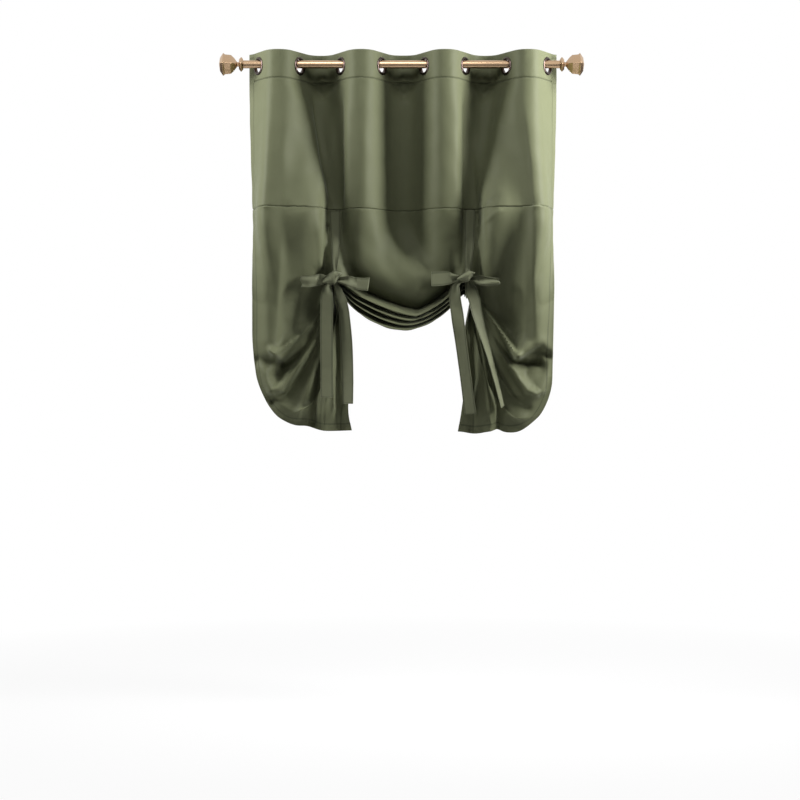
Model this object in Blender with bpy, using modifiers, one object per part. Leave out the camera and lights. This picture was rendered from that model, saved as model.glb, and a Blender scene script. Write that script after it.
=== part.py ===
"""A tie-up window curtain on its rod.

Eight grommets carry a folded header on a round rod with square finials. Below
the middle seam two pairs of sewn ribbons gather the cloth up into a swag
between two tails, and each pair is tied in a bow.

Metres. +Z is up, the side that faces the room is -Y, and the origin is the
middle of the rod's axis.
"""
import math

import bmesh
import bpy
import numpy as np
from mathutils import Matrix, Vector

# Rod and its ends
ROD_DIAMETER = 0.0254
ROD_WALL = 0.0012
ROD_BARE_END = 0.012
ROD_STEPS = 24
FIT = 0.0003
PLUG_LENGTH = 0.028
COLLAR_LENGTH = 0.0145
COLLAR_END_RADIUS = 0.016
COLLAR_PEAK_RADIUS = 0.0235
COLLAR_PEAK_LENGTH = 0.002
FINIAL_NECK_RADIUS = 0.0075
FINIAL_NECK_LENGTH = 0.005
FINIAL_SHOULDER_RADIUS = 0.021
FINIAL_SHOULDER_LENGTH = 0.010
FINIAL_BODY_RADIUS = 0.0305
FINIAL_BODY_LENGTH = 0.010
FINIAL_WAIST_RADIUS = 0.0325
FINIAL_WAIST_LENGTH = 0.020
FINIAL_RIM_RADIUS = 0.0375
FINIAL_RIM_LENGTH = 0.005
FINIAL_CAP_RADIUS = 0.022
FINIAL_CAP_LENGTH = 0.0105
FINIAL_CROWN = 0.0035

# Grommets
GROMMET_COUNT = 8
GROMMET_EDGE = 0.053
GROMMET_HOLE_RADIUS = 0.020
GROMMET_RING_RADIUS = 0.029
GROMMET_RING_HEIGHT = 0.0032
GROMMET_LIP = 0.0012
BARREL_WALL = 0.0012
GROMMET_STEPS = 16
CUTTER_LENGTH = 0.012

# Cloth, as it is cut and before it is hung
CLOTH_WIDTH = 1.422
CLOTH_THICKNESS = 0.0008
HEADER_TOP = 0.038
HEADER_DEPTH = 0.092
UPPER_LENGTH = 0.502
SEAM_GAP = 0.0004
STIFFENER_THICKNESS = 0.0008
STIFFENER_MARGIN = 0.004

# How it hangs
HANG_OFFSET = 0.0045
HEADER_ANGLE = 58.2
GROMMET_FLAT = 0.0315
SEAM_INSET = 0.012
SEAM_BACK = 0.060
STEEPEST = 86.0
FALL_POWER = 1.5

# Where the ties hold the cloth
TIE_PLACE = 0.282
NECK_HALF_CLOTH = 0.017
NECK_HALF_WIDTH = 0.014
NECK_REACH = 0.070
LEFT_KNOT_ACROSS = 0.2112
RIGHT_KNOT_ACROSS = 0.2048
LEFT_KNOT_DROP = 0.706
RIGHT_KNOT_DROP = 0.700
BUNCH_ABOVE = 0.012
BUNCH_BELOW = 0.035
BUNCH_DEPTH = 0.038
PLEATS = 4
DROOP = 0.30
NECK_DROOP = 0.12

# Swag between the knots
SWAG_TOP_SAG = 0.100
SWAG_BOTTOM_SAG = 0.112
SWAG_TOP_POWER = 1.35
SWAG_BOTTOM_POWER = 2.0
SWAG_MIDDLE = 0.010
SWAG_PLEAT_DEPTH = 0.030
SWAG_PUFF = 0.050

# Gathered sides
SIDE_DROP = 0.470
SIDE_PUFF = 0.0125
SIDE_FORWARD = 0.052

# Ribbons
TIE_WIDTH = 0.040
TIE_THICKNESS = 0.0012
TIE_CLEARANCE = 0.0004
STRAP_KNOT_WIDTH = 0.014
STRAP_FORWARD = 0.004
STRAP_LEAD = 0.010
STRAP_TUCK = 0.004
SEAM_CLEARANCE = 0.0006
WRAP_LEAD = 0.060
WRAP_CLEARANCE = 0.002
WRAP_SAG = 0.009
WRAP_DIP = 0.005
WRAP_CORNER = 0.010
KNOT_HALF_WIDTH = 0.014
KNOT_HALF_HEIGHT = 0.012
KNOT_HALF_DEPTH = 0.009
KNOT_RISE = 0.016
KNOT_BACK = 0.001
LOOP_LENGTH = 0.110
LOOP_DEPTH = 0.012
LOOP_CLEARANCE = 0.004
LOOP_SPLIT = 0.0026
TAIL_LENGTH = 0.400
TAIL_CLEARANCE = 0.006

# The level section at the seam: place, from 0 in the middle by 1 at a tie to 2 at
# the side edge, and the cloth's direction in degrees
SEAM_SECTION = [
    (0.000, 0), (0.106, -30), (0.337, -50), (0.525, -28), (0.624, 0), (0.730, 30), (0.844, 58),
    (0.894, 56), (0.936, 0), (1.042, 0), (1.070, -66), (1.186, -70), (1.275, -46), (1.368, -16),
    (1.438, 4), (1.503, 2), (1.578, -18), (1.648, 0), (1.741, 54), (1.834, 72), (1.951, 70), (2.000, 54),
]

# Each side's fold lines, from the knot by way of a low point to the side edge: pleat,
# then for both points the share of the way to the side edge and of SIDE_DROP
FOLD_LINES = {
    -1: [
        (0.0, (0.520, 0.243), (0.989, 0.102)),
        (0.5, (0.697, 0.468), (0.989, 0.306)),
        (1.5, (0.756, 0.715), (0.945, 0.606)),
        (2.5, (0.483, 0.877), (0.668, 0.902)),
        (3.5, (0.143, 0.817), (0.188, 0.991)),
        (4.0, (-0.086, 0.783), (-0.178, 0.987)),
    ],
    1: [
        (0.0, (0.531, 0.285), (0.993, 0.115)),
        (0.5, (0.603, 0.511), (0.982, 0.387)),
        (1.5, (0.762, 0.755), (0.971, 0.664)),
        (2.5, (0.596, 0.894), (0.827, 0.894)),
        (3.5, (0.264, 0.830), (0.351, 1.000)),
        (4.0, (-0.053, 0.796), (-0.108, 1.006)),
    ],
}
# From the knot, 0, to the side edge, 1: shares of BUNCH_DEPTH and of SIDE_FORWARD
SIDE_PLEAT_DEPTH = [(0, 1.0), (0.4, 0.895), (0.7, 0.684), (1, 0.368)]
SIDE_MIDDLE = [(0, 0.0), (0.3, -0.23), (0.6, -0.65), (0.85, -1.0), (1, -0.69)]

# Straps below the seam: row of the lower cloth and share of TIE_WIDTH
FRONT_STRAP = [(-1.0, 0.85), (-0.88, 0.80), (-0.6, 0.60), (-0.35, 0.45)]
BACK_STRAP = [(-1.0, 0.85), (-0.9, 0.85), (-0.8, 0.80)]
# Loops by side and hand: reach and drop as shares of LOOP_LENGTH
LOOPS = {(-1, -1): (0.900, 0.091), (-1, 1): (1.055, 0.145), (1, -1): (1.000, 0.055), (1, 1): (0.900, 0.136)}
# Along a loop: shares of its reach, its way forward, its drop and TIE_WIDTH
LOOP_ROUTE = [(0.02, 0.0, 0.0, 0.30), (0.35, 0.45, 0.30, 0.85), (0.80, 0.9, 0.85, 1.0), (0.985, 1.0, 1.0, 1.0)]
# Tails by side and hand, down from the knot: across and down as shares of TAIL_LENGTH,
# share of TIE_WIDTH and turn about the vertical in degrees
TAILS = {
    (-1, -1): [(-0.015, 0.025, 0.35, 0), (-0.038, 0.120, 0.95, 0), (-0.048, 0.475, 1.0, 6),
               (-0.048, 0.935, 1.0, 4)],
    (-1, 1): [(0.020, 0.020, 0.32, 0), (0.045, 0.090, 0.45, 30), (0.083, 0.208, 0.90, 40),
              (0.102, 0.520, 1.0, 24), (0.110, 0.760, 1.0, 22), (0.113, 0.985, 1.0, 32)],
    (1, -1): [(-0.020, 0.022, 0.35, 0), (-0.085, 0.148, 0.95, 20), (-0.073, 0.320, 1.0, 4),
              (-0.038, 0.568, 1.0, 8), (0.000, 0.848, 1.0, 30), (0.030, 1.085, 1.0, 24)],
    (1, 1): [(0.020, 0.020, 0.32, 0), (0.055, 0.150, 0.90, 12), (0.105, 0.372, 1.0, 50),
             (0.168, 0.585, 1.0, 56), (0.230, 0.815, 1.0, 66), (0.280, 1.022, 1.0, 72)],
}

# How finely the cloth is cut into faces
HALF_WAVE_COLUMNS = 3
UPPER_ROWS = 6
FALL_ROWS = 7
PLEAT_ROWS = 6
SWAG_COLUMNS = 7
SIDE_COLUMNS = 10
LOOP_STEPS = 16
TAIL_STEPS = 14

ROD_RADIUS = ROD_DIAMETER / 2
ROD_BORE = ROD_RADIUS - ROD_WALL
HALF_CLOTH = CLOTH_WIDTH / 2
GROMMET_PITCH = (CLOTH_WIDTH - 2 * GROMMET_EDGE) / (GROMMET_COUNT - 1)
HEADER_BOTTOM = HEADER_TOP - HEADER_DEPTH
SEAM_HEIGHT = HEADER_TOP - UPPER_LENGTH
HEADER_FOLD = CLOTH_THICKNESS + STIFFENER_THICKNESS + 2 * FIT
BARREL_FRONT = -CLOTH_THICKNESS / 2 - FIT - GROMMET_RING_HEIGHT * 0.2
BARREL_BACK = HEADER_FOLD + CLOTH_THICKNESS / 2 + FIT + GROMMET_RING_HEIGHT * 0.7
KNOT_ACROSS = {-1: LEFT_KNOT_ACROSS, 1: RIGHT_KNOT_ACROSS}
KNOT_DROP = {-1: LEFT_KNOT_DROP, 1: RIGHT_KNOT_DROP}
BUNCH_HEIGHT = BUNCH_ABOVE + BUNCH_BELOW
SIDE_CLOTH = HALF_CLOTH - TIE_PLACE - NECK_HALF_CLOTH


def smooth(keys, at):
    """Read a smooth curve through keys of (place, value) that never overshoots them."""
    places, values = (np.array(column, float) for column in zip(*keys))
    runs = np.diff(places)
    slopes = np.diff(values) / runs
    tangents = np.zeros(len(places))
    for i in range(1, len(places) - 1):
        if slopes[i - 1] * slopes[i] > 0:
            tangents[i] = 2 * slopes[i - 1] * slopes[i] / (slopes[i - 1] + slopes[i])
    at = np.clip(at, places[0], places[-1])
    i = np.clip(np.searchsorted(places, at) - 1, 0, len(runs) - 1)
    t = (at - places[i]) / runs[i]
    return (
        (1 + 2 * t) * (1 - t) ** 2 * values[i]
        + t * (1 - t) ** 2 * runs[i] * tangents[i]
        + t * t * (3 - 2 * t) * values[i + 1]
        - t * t * (1 - t) * runs[i] * tangents[i + 1]
    )


def ease(t):
    """Go from 0 to 1 with level ends."""
    t = np.clip(t, 0, 1)
    return t * t * (3 - 2 * t)


def grommet_places():
    """Give the cloth from the middle to each grommet of one half."""
    return [(i + 0.5) * GROMMET_PITCH for i in range(GROMMET_COUNT // 2)]


def header_section():
    """Give the header's directions: straight through each grommet, and turned between them."""
    keys = [(0.0, 0.0)]
    turn = -HEADER_ANGLE
    for place in grommet_places():
        keys += [(place - GROMMET_FLAT, turn), (place + GROMMET_FLAT, turn)]
        if place + GROMMET_PITCH / 2 < HALF_CLOTH:
            keys.append((place + GROMMET_PITCH / 2, 0.0))
        turn = -turn
    keys.append((HALF_CLOTH, -turn / 2))
    return keys


FINE = np.linspace(0, HALF_CLOTH, 475)


def wave(turns):
    """Follow a level section by its directions in degrees: places across, depths and angles."""
    step = FINE[1] - FINE[0]
    angles = np.radians(turns)
    middles = angles[1:] / 2 + angles[:-1] / 2
    across = np.concatenate([[0], np.cumsum(np.cos(middles)) * step])
    depth = np.concatenate([[0], np.cumsum(np.sin(middles)) * step])
    return across, depth, angles


def bent_to(turns, edge):
    """Bend a section more or less until its edge stands at its place across."""
    low, high = 0.3, 2.0
    for _ in range(24):
        middle = (low + high) / 2
        bent = np.clip(turns * middle, -STEEPEST, STEEPEST)
        if wave(bent)[0][-1] > edge:
            low = middle
        else:
            high = middle
    return bent


def ring_drop():
    """Lower a tilted ring on the rod until the rod would touch its hole."""
    tilt = math.radians(90 - HEADER_ANGLE)
    hole = GROMMET_HOLE_RADIUS * math.cos(math.pi / GROMMET_STEPS)
    heights = np.linspace(0, ROD_RADIUS, 60)
    widths = np.sqrt(ROD_RADIUS ** 2 - heights ** 2) / math.cos(tilt)
    widths += (BARREL_BACK - BARREL_FRONT) / 2 * math.tan(tilt)
    return float((np.sqrt(hole ** 2 - widths ** 2) - heights).min()) - FIT


GROMMET_HEIGHT = -ring_drop()
BARREL_MIDDLE = (BARREL_FRONT + BARREL_BACK) / 2
HEADER_ACROSS, HEADER_DEPTHS, HEADER_ANGLES = wave(smooth(header_section(), FINE))
HEADER_DEPTHS -= np.interp(GROMMET_PITCH / 2, FINE, HEADER_DEPTHS)
HEADER_DEPTHS -= BARREL_MIDDLE * math.cos(math.radians(HEADER_ANGLE))
HEADER_EDGE = float(HEADER_ACROSS[-1])
ROD_LENGTH = 2 * (HEADER_EDGE + ROD_BARE_END)
SEAM_EDGE = HEADER_EDGE - SEAM_INSET
SEAM_PLACES = np.interp(FINE, [0, TIE_PLACE, HALF_CLOTH], [0, 1, 2])
SEAM_ACROSS, SEAM_DEPTHS, _ = wave(bent_to(smooth(SEAM_SECTION, SEAM_PLACES), SEAM_EDGE))
SEAM_DEPTHS += SEAM_BACK


def upper_point(cloth, height, offset=0.0):
    """Place a point of the upper cloth: cloth from the middle, height, and offset to the back."""
    side = math.copysign(1, cloth)
    away = abs(cloth)
    fall = (HEADER_BOTTOM - height) / (HEADER_BOTTOM - SEAM_HEIGHT)
    share = max(fall, 0) ** FALL_POWER
    x = np.interp(away, FINE, HEADER_ACROSS * (1 - share) + SEAM_ACROSS * share)
    y = np.interp(away, FINE, HEADER_DEPTHS * (1 - share) + SEAM_DEPTHS * share)
    angle = np.interp(away, FINE, HEADER_ANGLES)
    x -= math.sin(angle) * offset
    y += math.cos(angle) * offset
    return Vector((side * x + HANG_OFFSET, y, height))


def fold_line(side, pleat, share):
    """Follow one side's fold line: share 0 at the knot, 1 at the side edge."""
    knot = np.array([NECK_HALF_WIDTH, BUNCH_HEIGHT * pleat / PLEATS - BUNCH_ABOVE])
    reach = np.array([SEAM_EDGE - KNOT_ACROSS[side], SIDE_DROP])
    lines = FOLD_LINES[side]
    low, edge = (
        reach * [float(smooth([(line[0], line[point][axis]) for line in lines], pleat)) for axis in (0, 1)]
        for point in (1, 2)
    )
    near, far = np.linalg.norm(low - knot), np.linalg.norm(edge - low)
    at = near / (near + far)
    control = (low - (1 - at) ** 2 * knot - at * at * edge) / (2 * at * (1 - at))
    along = (1 - share) ** 2 * knot + 2 * share * (1 - share) * control + share * share * edge
    return along + [KNOT_ACROSS[side], KNOT_DROP[side]]


def lower_guide(cloth, pleat):
    """Place a point of the pleated cloth below the knots' level."""
    side = 1 if cloth > 0 else -1
    away = abs(cloth)
    stack = BUNCH_HEIGHT * pleat / PLEATS - BUNCH_ABOVE
    outside = (away - TIE_PLACE - NECK_HALF_CLOTH) / SIDE_CLOTH
    inside = cloth / (TIE_PLACE - NECK_HALF_CLOTH)
    if outside > 0:
        across, drop = fold_line(side, pleat, outside)
        depth = BUNCH_DEPTH * float(smooth(SIDE_PLEAT_DEPTH, outside))
        middle = SIDE_FORWARD * float(smooth(SIDE_MIDDLE, outside))
        neck = 1 - float(ease(outside * SIDE_CLOTH / NECK_REACH))
        x, z = side * across, -drop
    elif abs(inside) < 1:
        share = (inside + 1) / 2
        left, right = NECK_HALF_WIDTH - KNOT_ACROSS[-1], KNOT_ACROSS[1] - NECK_HALF_WIDTH
        x = left + (right - left) * share
        knots = KNOT_DROP[-1] + (KNOT_DROP[1] - KNOT_DROP[-1]) * share
        power = SWAG_TOP_POWER + (SWAG_BOTTOM_POWER - SWAG_TOP_POWER) * pleat / PLEATS
        sag = SWAG_TOP_SAG + (SWAG_BOTTOM_SAG - SWAG_TOP_SAG) * pleat / PLEATS
        z = -knots - stack - sag * (1 - abs(inside) ** power)
        fall = float(ease(1 - abs(inside)))
        depth = BUNCH_DEPTH + (SWAG_PLEAT_DEPTH - BUNCH_DEPTH) * fall
        middle = -SWAG_MIDDLE * fall
        neck = 1 - float(ease((1 - abs(inside)) * TIE_PLACE / NECK_REACH))
    else:
        x = side * (KNOT_ACROSS[side] + (away - TIE_PLACE) * NECK_HALF_WIDTH / NECK_HALF_CLOTH)
        z = -KNOT_DROP[side] - stack
        depth, middle, neck = BUNCH_DEPTH, 0.0, 1.0
    # Valleys stand at whole pleats and crests between them, and the first crest hugs the knot.
    y = middle + depth * math.cos(2 * math.pi * pleat)
    if pleat < 0.5:
        y += neck * (middle - depth - y)
    z += (DROOP + (NECK_DROOP - DROOP) * neck) * (y - middle)
    return x, y, z


def lower_point(cloth, row):
    """Place a point of the lower cloth: row -1 at the seam, 0 at the first fold, then pleats."""
    if row >= 0:
        x, y, z = lower_guide(cloth, row)
        return Vector((x + HANG_OFFSET, y, z))
    away = abs(cloth)
    fall = 1 + row
    start = upper_point(cloth, SEAM_HEIGHT)
    x_fold, y_fold, z_fold = lower_guide(cloth, 0.0)
    fold = Vector((x_fold + HANG_OFFSET, y_fold, z_fold))
    length = start.z - fold.z
    slope = (start - upper_point(cloth, HEADER_BOTTOM)) * FALL_POWER / (HEADER_BOTTOM - SEAM_HEIGHT)
    place = start.lerp(fold, float(ease(fall))) + slope * length * fall * (1 - fall) ** 2
    near = float(ease((abs(away - TIE_PLACE) - NECK_HALF_CLOTH) / NECK_REACH))
    puff = SWAG_PUFF if away < TIE_PLACE else SIDE_PUFF
    place.y -= puff * near * fall ** 3 * (1 - fall) * 256 / 27
    place.z = start.z - SEAM_GAP - (length - SEAM_GAP) * fall
    return place


def principled(name, colour, roughness, metallic=0.0):
    """Make a plain finish."""
    material = bpy.data.materials.new(name)
    material.use_nodes = True
    shader = material.node_tree.nodes["Principled BSDF"]
    shader.inputs["Base Color"].default_value = (*colour, 1)
    shader.inputs["Roughness"].default_value = roughness
    shader.inputs["Metallic"].default_value = metallic
    material.diffuse_color = (*colour, 1)
    return material


def add_object(name, mesh, collection, material=None):
    """Add a mesh to a collection as a named object."""
    piece = bpy.data.objects.new(name, mesh)
    collection.objects.link(piece)
    if material:
        mesh.materials.clear()
        mesh.materials.append(material)
    return piece


def grid_mesh(name, points):
    """Make an open sheet from rows of points."""
    rows, columns = len(points), len(points[0])
    mesh = bpy.data.meshes.new(name)
    faces = [
        (r * columns + c, (r + 1) * columns + c, (r + 1) * columns + c + 1, r * columns + c + 1)
        for r in range(rows - 1)
        for c in range(columns - 1)
    ]
    mesh.from_pydata([point for row in points for point in row], [], faces)
    mesh.update()
    return mesh


def thicken(piece, thickness):
    """Give a sheet its thickness, half to each side."""
    shell = piece.modifiers.new("thickness", "SOLIDIFY")
    shell.thickness = thickness
    shell.offset = 0
    shell.use_even_offset = False


def boolean(piece, operand, operation):
    """Cut a piece, or join another to it."""
    step = piece.modifiers.new(operation.lower(), "BOOLEAN")
    step.operation = operation
    step.solver = "EXACT"
    step.object = operand


def hide_cutter(cutter):
    """Leave a cutter or a joined part out of the model itself."""
    cutter.hide_render = True
    cutter.display_type = "WIRE"


def turned(name, profile, steps, collection, material, smooth_sides=True):
    """Turn a profile of (radius, height), from top to bottom down its outer side, about Z."""
    mesh = bpy.data.meshes.new(name)
    closed = profile[0][0] > 0
    count = len(profile)
    edges = [(i, (i + 1) % count) for i in range(count if closed else count - 1)]
    mesh.from_pydata([(radius, 0, height) for radius, height in profile], edges, [])
    piece = add_object(name, mesh, collection, material)
    screw = piece.modifiers.new("turn", "SCREW")
    screw.steps = steps
    screw.render_steps = steps
    screw.use_merge_vertices = True
    screw.merge_threshold = 0.00001
    screw.use_smooth_shade = smooth_sides
    return piece


def rod(collection, metal):
    """Make the hollow rod along X."""
    half = ROD_LENGTH / 2
    profile = [(ROD_RADIUS, half), (ROD_RADIUS, -half), (ROD_BORE, -half), (ROD_BORE, half)]
    piece = turned("rod", profile, ROD_STEPS, collection, metal)
    piece.rotation_euler = (0, math.pi / 2, 0)


def finial(side, collection, metal):
    """Make one finial with its plug, and the collar between it and the rod's end."""
    name = "left" if side < 0 else "right"
    plug = ROD_BORE - FIT
    steps = [
        (FINIAL_NECK_RADIUS, FINIAL_NECK_LENGTH),
        (FINIAL_SHOULDER_RADIUS, FINIAL_SHOULDER_LENGTH),
        (FINIAL_BODY_RADIUS, FINIAL_BODY_LENGTH),
        (FINIAL_WAIST_RADIUS, FINIAL_WAIST_LENGTH),
        (FINIAL_RIM_RADIUS, FINIAL_RIM_LENGTH),
        (FINIAL_CAP_RADIUS, FINIAL_CAP_LENGTH),
    ]
    height = COLLAR_LENGTH + FIT
    outline = [(0, -PLUG_LENGTH), (plug, -PLUG_LENGTH), (plug, height), (FINIAL_NECK_RADIUS, height + FIT)]
    for radius, length in steps:
        height += length
        outline.append((radius, height))
    outline.append((0, height + FINIAL_CROWN))
    piece = turned("finial_" + name, outline[::-1], 4, collection, metal, smooth_sides=False)
    hole = plug + FIT
    middle = COLLAR_LENGTH / 2
    ring = [
        (COLLAR_END_RADIUS, COLLAR_LENGTH),
        (COLLAR_PEAK_RADIUS, middle + COLLAR_PEAK_LENGTH / 2),
        (COLLAR_PEAK_RADIUS, middle - COLLAR_PEAK_LENGTH / 2),
        (COLLAR_END_RADIUS, FIT),
        (hole, FIT),
        (hole, COLLAR_LENGTH),
    ]
    collar = turned("finial_collar_" + name, ring, 4, collection, metal, smooth_sides=False)
    for part in (piece, collar):
        part.location = (side * ROD_LENGTH / 2, 0, 0)
        part.rotation_euler = (0, side * math.pi / 2, 0)


def grommet_seats(offset=0.0):
    """Give each grommet's place and its turn square to the header, from left to right."""
    seats = []
    for place in [-place for place in reversed(grommet_places())] + grommet_places():
        spot = upper_point(place, GROMMET_HEIGHT, offset)
        to_back = upper_point(place, GROMMET_HEIGHT, offset + HEADER_FOLD) - spot
        seats.append((spot, Vector((0, 0, 1)).rotation_difference(to_back.normalized())))
    return seats


def grommets(collection, metal):
    """Make the front and back rings of each grommet, which clamp the cloth between them."""
    front = -CLOTH_THICKNESS / 2 - FIT
    back = HEADER_FOLD - front
    hole = GROMMET_HOLE_RADIUS
    barrel = hole + BARREL_WALL
    rim = GROMMET_RING_RADIUS
    crest = GROMMET_RING_HEIGHT
    front_ring = [
        (hole + GROMMET_LIP, front - crest * 0.7),
        (hole, BARREL_FRONT),
        (hole, BARREL_BACK),
        (barrel, BARREL_BACK),
        (barrel, front),
        (rim, front),
        (rim - GROMMET_LIP, front - crest * 0.7),
        ((rim + hole) / 2, front - crest),
    ]
    back_ring = [
        (barrel + FIT, back),
        (barrel + FIT, back + crest * 0.6),
        ((rim + barrel) / 2, back + crest * 0.8),
        (rim - GROMMET_LIP, back + crest * 0.5),
        (rim, back),
    ]
    for number, (spot, turn) in enumerate(grommet_seats(), start=1):
        for name, profile in (("front", front_ring), ("back", back_ring)):
            piece = turned(f"grommet_{number}_{name}", profile, GROMMET_STEPS, collection, metal)
            piece.location = spot
            piece.rotation_mode = "QUATERNION"
            piece.rotation_quaternion = turn


def hole_cutter(name, collection):
    """Make the round cutters for the grommets' holes as one mesh."""
    radius = GROMMET_HOLE_RADIUS + BARREL_WALL + FIT
    cutters = bmesh.new()
    for spot, turn in grommet_seats(HEADER_FOLD / 2):
        bmesh.ops.create_cone(
            cutters, cap_ends=True, segments=GROMMET_STEPS, radius1=radius, radius2=radius,
            depth=CUTTER_LENGTH, matrix=Matrix.Translation(spot) @ turn.to_matrix().to_4x4(),
        )
    mesh = bpy.data.meshes.new(name)
    cutters.to_mesh(mesh)
    cutters.free()
    cutter = add_object(name, mesh, collection)
    hide_cutter(cutter)
    return cutter


def upper_columns():
    """Give the cloth places of the upper panel's columns, straight across each grommet."""
    turned_cloth = GROMMET_PITCH / 2 - GROMMET_FLAT
    reaches = [GROMMET_FLAT + turned_cloth * i / HALF_WAVE_COLUMNS for i in range(HALF_WAVE_COLUMNS + 1)]
    places = {0.0, HALF_CLOTH}
    for grommet in grommet_places():
        for reach in reaches:
            for place in (grommet - reach, grommet + reach):
                if 0 <= place < HALF_CLOTH - STIFFENER_MARGIN:
                    places.add(round(place, 6))
    half = sorted(places)
    return [-place for place in half[:0:-1]] + half


def upper_panel(collection, cloth, cutter):
    """Make the cloth from the header's back layer over its top and down to the seam."""
    columns = upper_columns()
    half = HEADER_FOLD / 2
    rows = [
        (HEADER_BOTTOM, HEADER_FOLD),
        (HEADER_TOP - half, HEADER_FOLD),
        (HEADER_TOP, half),
        (HEADER_TOP - half, 0.0),
    ]
    fall = (SEAM_HEIGHT - HEADER_BOTTOM) / UPPER_ROWS
    rows += [(HEADER_BOTTOM + fall * i, 0.0) for i in range(UPPER_ROWS + 1)]
    points = [[upper_point(place, height, offset) for place in columns] for height, offset in rows]
    piece = add_object("upper_panel", grid_mesh("upper_panel", points), collection, cloth)
    thicken(piece, CLOTH_THICKNESS)
    boolean(piece, cutter, "DIFFERENCE")


def header_stiffener(collection, lining, cutter):
    """Make the strip that lies inside the folded header."""
    columns = upper_columns()[1:-1]
    heights = (HEADER_TOP - STIFFENER_MARGIN, HEADER_BOTTOM + STIFFENER_MARGIN)
    points = [[upper_point(place, height, HEADER_FOLD / 2) for place in columns] for height in heights]
    mesh = grid_mesh("header_stiffener", points)
    piece = add_object("header_stiffener", mesh, collection, lining)
    thicken(piece, STIFFENER_THICKNESS)
    boolean(piece, cutter, "DIFFERENCE")


def lower_columns():
    """Give the cloth places of the lower panel's columns."""
    inner = [i / SWAG_COLUMNS * (TIE_PLACE - NECK_HALF_CLOTH) for i in range(SWAG_COLUMNS + 1)]
    neck = [TIE_PLACE, TIE_PLACE + NECK_HALF_CLOTH]
    outer = [HALF_CLOTH - SIDE_CLOTH * (1 - i / SIDE_COLUMNS) for i in range(1, SIDE_COLUMNS + 1)]
    half = inner + neck + outer
    return [-place for place in half[:0:-1]] + half


def lower_panel(collection, cloth):
    """Make the gathered cloth from the seam to the hem, and give its points."""
    rows = [-1 + i / FALL_ROWS for i in range(FALL_ROWS)]
    rows += [i / PLEAT_ROWS for i in range(PLEAT_ROWS * PLEATS + 1)]
    points = [[lower_point(place, row) for place in lower_columns()] for row in rows]
    piece = add_object("lower_panel", grid_mesh("lower_panel", points), collection, cloth)
    thicken(piece, CLOTH_THICKNESS)
    return np.array([tuple(point) for row in points for point in row])


def front_of_cloth(points, x, z, reach):
    """Find how far forward the lower cloth stands round a place, as a -Y depth."""
    near = np.hypot(points[:, 0] - x, points[:, 2] - z) < reach
    return float(points[near, 1].min()) if near.any() else 0.0


def ribbon(name, stations, steps, collection):
    """Make a sewn ribbon along stations of (centre, half width vector)."""
    lengths = [0.0]
    for (here, _), (there, _) in zip(stations, stations[1:]):
        lengths.append(lengths[-1] + (there - here).length)
    rows = []
    for i in range(steps + 1):
        at = lengths[-1] * i / steps
        centre, half = (
            Vector([smooth(list(zip(lengths, [station[part][axis] for station in stations])), at)
                    for axis in range(3)])
            for part in (0, 1)
        )
        rows.append([centre - half, centre + half])
    piece = add_object(name, grid_mesh(name, rows), collection)
    thicken(piece, TIE_THICKNESS)
    return piece


def knot_half(name, centre, collection, material):
    """Make one half of a knot as a small pillow with a flat side against the other half."""
    form = bmesh.new()
    bmesh.ops.create_cube(form, size=2)
    bmesh.ops.subdivide_edges(form, edges=form.edges, cuts=2, use_grid_fill=True)
    for vertex in form.verts:
        x, y, z = vertex.co
        corner = 1 - 0.25 * x * x * z * z
        crown = 1 - 0.225 * (x * x + z * z)
        vertex.co = (
            x * KNOT_HALF_WIDTH * corner,
            y * KNOT_HALF_DEPTH / 2 * crown,
            z * KNOT_HALF_HEIGHT * corner,
        )
        vertex.co += centre
    mesh = bpy.data.meshes.new(name)
    form.to_mesh(mesh)
    form.free()
    return add_object(name, mesh, collection, material)


def loop_stations(side, hand, start, points):
    """Lay one bow loop out from the knot and back behind itself, its width upright."""
    reach, drop = (share * LOOP_LENGTH for share in LOOPS[side, hand])
    clear = 0.0
    for share in (0.3, 0.6, 0.9):
        x, z = start.x + hand * reach * share, start.z - drop * share
        clear = min(clear, front_of_cloth(points, x, z, TIE_WIDTH * 0.6) - start.y)
    depth = min(clear - LOOP_DEPTH - LOOP_CLEARANCE, -LOOP_CLEARANCE)
    runs = []
    for face in (-1, 1):
        run = []
        for out, forward, down, width in LOOP_ROUTE:
            split = LOOP_SPLIT if face > 0 and out == LOOP_ROUTE[0][0] else 0
            y = depth * forward + face * LOOP_DEPTH / 2 * forward + split
            run.append((start + Vector((hand * reach * out, y, -drop * down)), Vector((0, 0, TIE_WIDTH / 2 * width))))
        runs.append(run)
    tip = (start + Vector((hand * reach, depth, -drop)), Vector((0, 0, TIE_WIDTH / 2)))
    return runs[0] + [tip] + runs[1][::-1]


def tail_stations(side, hand, start, points):
    """Hang one ribbon tail in front of the cloth."""
    stations = [(start + Vector((hand * KNOT_BACK, 0, 0)), Vector((TIE_WIDTH / 8, 0, 0)))]
    for across, down, width, turn in TAILS[side, hand]:
        x, z = start.x + across * TAIL_LENGTH, start.z - down * TAIL_LENGTH
        angle = math.radians(turn)
        half = Vector((math.cos(angle), -hand * math.sin(angle), 0)) * width * TIE_WIDTH / 2
        front = start.y
        if start.z - z > KNOT_HALF_HEIGHT * 2:
            cloth = front_of_cloth(points, x, z, TIE_WIDTH)
            front = min(front, cloth - abs(half.y) - TAIL_CLEARANCE)
        stations.append((Vector((x, front, z)), half))
    return stations


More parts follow.
